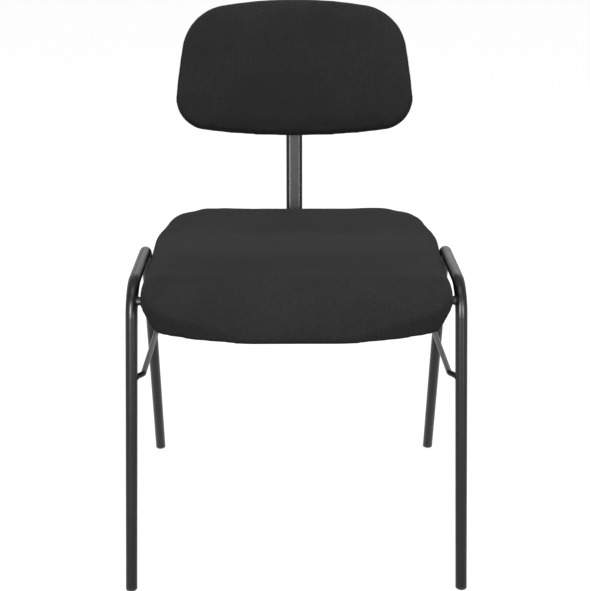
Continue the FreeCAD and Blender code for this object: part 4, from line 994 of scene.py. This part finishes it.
def makeHem(look):
    # rows of points, each a step further in over the board, with pleats that grow inwards
    sheet = undersideOf("seat_board", look["facing"])
    loop = rimLoop(sheet)
    tree = BVHTree.FromBMesh(sheet)
    sheet.free()
    line = evenly(loop, np.linalg.norm(np.diff(loop, axis=0), axis=1).sum() / look["marks"], True)
    count = len(line)
    turn = np.arange(count) / count * 2 * math.pi
    wave = look["pleat"] * np.sin(turn * look["pleats"] + look["sway"] * np.sin(look["sways"] * turn))
    rows, laid, here = [], [], line.copy()
    normals = np.array([tree.find_nearest(Vector(point))[1] for point in here])
    for rank, (step, lift) in enumerate(zip(look["steps"], look["lift"])):
        ahead = np.roll(here, -1, axis=0) - np.roll(here, 1, axis=0)
        ahead /= np.linalg.norm(ahead, axis=1)[:, None]
        inward = np.cross(normals, ahead)
        if ((line.mean(axis=0) - here) * inward).sum() < 0:
            inward = -inward
        spots = [tree.find_nearest(Vector(point))[:2] for point in here + inward * step]
        here = averagedRound(np.array([spot[0] for spot in spots]), look["evenRounds"] if rank else 0)
        normals = np.array([spot[1] for spot in spots])
        if rank == 0:  # starts outside the board, under the cover's rim
            rows.append(here - inward * look["overlap"] + normals * lift)
        rise = np.clip(wave * (rank / len(look["steps"])), -look["deepest"], None)
        rows.append(here + normals * (lift + rise)[:, None])
        laid.append((here, normals, ahead))
    faces = [(rank * count + mark, rank * count + (mark + 1) % count,
              (rank + 1) * count + (mark + 1) % count, (rank + 1) * count + mark)
             for rank in range(len(rows) - 1) for mark in range(count)]
    data = bpy.data.meshes.new("seatHem")
    data.from_pydata([tuple(point) for point in np.vstack(rows)], [], faces)
    runs = np.concatenate([[-look["overlap"], 0.0], np.cumsum(look["steps"][1:])])
    around = np.linalg.norm(np.diff(line, axis=0), axis=1).sum() / count
    wearCloth(data, np.tile(np.arange(count), len(rows)) * around, np.repeat(runs, count))
    outward = sum(data.polygons[mark].normal.dot(Vector(laid[0][1][mark])) for mark in range(count))
    if outward < 0:
        data.flip_normals()
    return linkMesh("seatHem", data), laid


def makeStaples(laid, look):
    places, outs, aheads = laid[look["row"]]
    every = max(1, int(round(look["apart"] / np.linalg.norm(places[1] - places[0]))))
    alongs = aheads + look["tilt"] * np.cross(outs, aheads)
    return setPieces(
        "hemStaples", stapleTree, (places + outs * look["lift"])[::every], outs[::every],
        alongs[::every], "zincSteel")


seatHem, hemRows = makeHem(hemLook)
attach(seatHem, "frame")
staples = makeStaples(hemRows, stapleLook)
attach(staples, "frame")
print("hem and staples made:", len(seatHem.data.polygons), "and", len(staples.data.polygons), "faces")


# Studio: a pale floor, a soft lamp in front, one overhead, one behind, and two for the steel alone
studio = {
    "floorHalf": 14.0, "floorTone": (0.45, 0.45, 0.45), "floorGlow": 0.86, "worldTone": 0.26,
    "lamps": [
        # name, place, aim, size, watts
        ("frontSoft", (0.0, -2.9, 1.5), (0.0, 0.0, 0.5), (2.2, 1.0), 20.0),
        ("overhead", (0.0, -0.9, 2.6), (0.0, 0.0, 0.4), (1.6, 1.0), 32.0),
        ("behind", (0.4, 3.0, 1.7), (0.0, 0.2, 0.5), (2.0, 1.2), 10.0),
    ],
    "rims": [  # flagged off the cloth, for the lines of light along the tubes
        ("rimLeft", (-0.72, -1.85, 0.62), (-0.1, 0.0, 0.35), (0.16, 1.2), 125.0),
        ("rimRight", (0.98, -1.75, 0.62), (0.1, 0.0, 0.35), (0.16, 1.2), 75.0),
    ],
}


def seenOr(tree, unseen, seen):
    # one shader where the camera, a gloss or a glass looks, the other for the light it gives
    path = addNode(tree, "ShaderNodeLightPath")
    ray = mathNode(tree, "MAXIMUM", path.outputs["Is Camera Ray"], path.outputs["Is Glossy Ray"])
    ray = mathNode(tree, "MAXIMUM", ray, path.outputs["Is Transmission Ray"])
    pick = addNode(tree, "ShaderNodeMixShader")
    for socket, source in zip(pick.inputs, (ray, unseen, seen)):
        feed(tree, source, socket)
    return pick.outputs[0]


def glowNode(tree, kind, strength):
    made = addNode(tree, kind)
    made.inputs["Color"].default_value = (1.0, 1.0, 1.0, 1.0)
    made.inputs["Strength"].default_value = strength
    return made.outputs[0]


def makeFloor(look):
    half = look["floorHalf"]
    corners = [(-half, -half, 0), (half, -half, 0), (half, half, 0), (-half, half, 0)]
    data = bpy.data.meshes.new("floor")
    data.from_pydata(corners, [], [(0, 1, 2, 3)])
    floor = linkMesh("floor", data)
    material, tree, shader = startMaterial("paleFloor")[:3]
    shader.inputs["Roughness"].default_value = 0.9
    shader.inputs["Specular IOR Level"].default_value = 0.0
    shader.inputs["Base Color"].default_value = (*look["floorTone"], 1.0)
    dark = glowNode(tree, "ShaderNodeEmission", 0.0)
    glow = glowNode(tree, "ShaderNodeEmission", look["floorGlow"])
    both = addNode(tree, "ShaderNodeAddShader")
    feed(tree, shader.outputs[0], both.inputs[0])
    feed(tree, seenOr(tree, dark, glow), both.inputs[1])
    feed(tree, both.outputs[0], tree.nodes["Material Output"].inputs["Surface"])
    data.materials.append(material)


def makeLamp(name, place, aim, size, watts):
    lamp = bpy.data.lights.new(name, "AREA")
    lamp.shape = "RECTANGLE"
    lamp.size, lamp.size_y = size
    lamp.energy = watts
    holder = bpy.data.objects.new(name, lamp)
    scene.collection.objects.link(holder)
    holder.location = place
    holder.rotation_euler = (Vector(aim) - Vector(place)).to_track_quat("-Z", "Y").to_euler()
    return holder


def makeLamps(look):
    for row in look["lamps"]:
        makeLamp(*row)
    steel = bpy.data.collections.new("paintedSteel")
    for name in nodeFinish["framePaint"]:
        steel.objects.link(nodes[name])
    for row in look["rims"]:
        makeLamp(*row).light_linking.receiver_collection = steel


def makeWorld(look):
    world = bpy.data.worlds.new("studio")
    scene.world = world
    world.use_nodes = True
    tree = world.node_tree
    tree.nodes.clear()
    out = addNode(tree, "ShaderNodeOutputWorld")
    room = glowNode(tree, "ShaderNodeBackground", look["worldTone"])
    white = glowNode(tree, "ShaderNodeBackground", 1.0)
    feed(tree, seenOr(tree, room, white), out.inputs["Surface"])


makeFloor(studio)
makeLamps(studio)
makeWorld(studio)
print("studio lit")
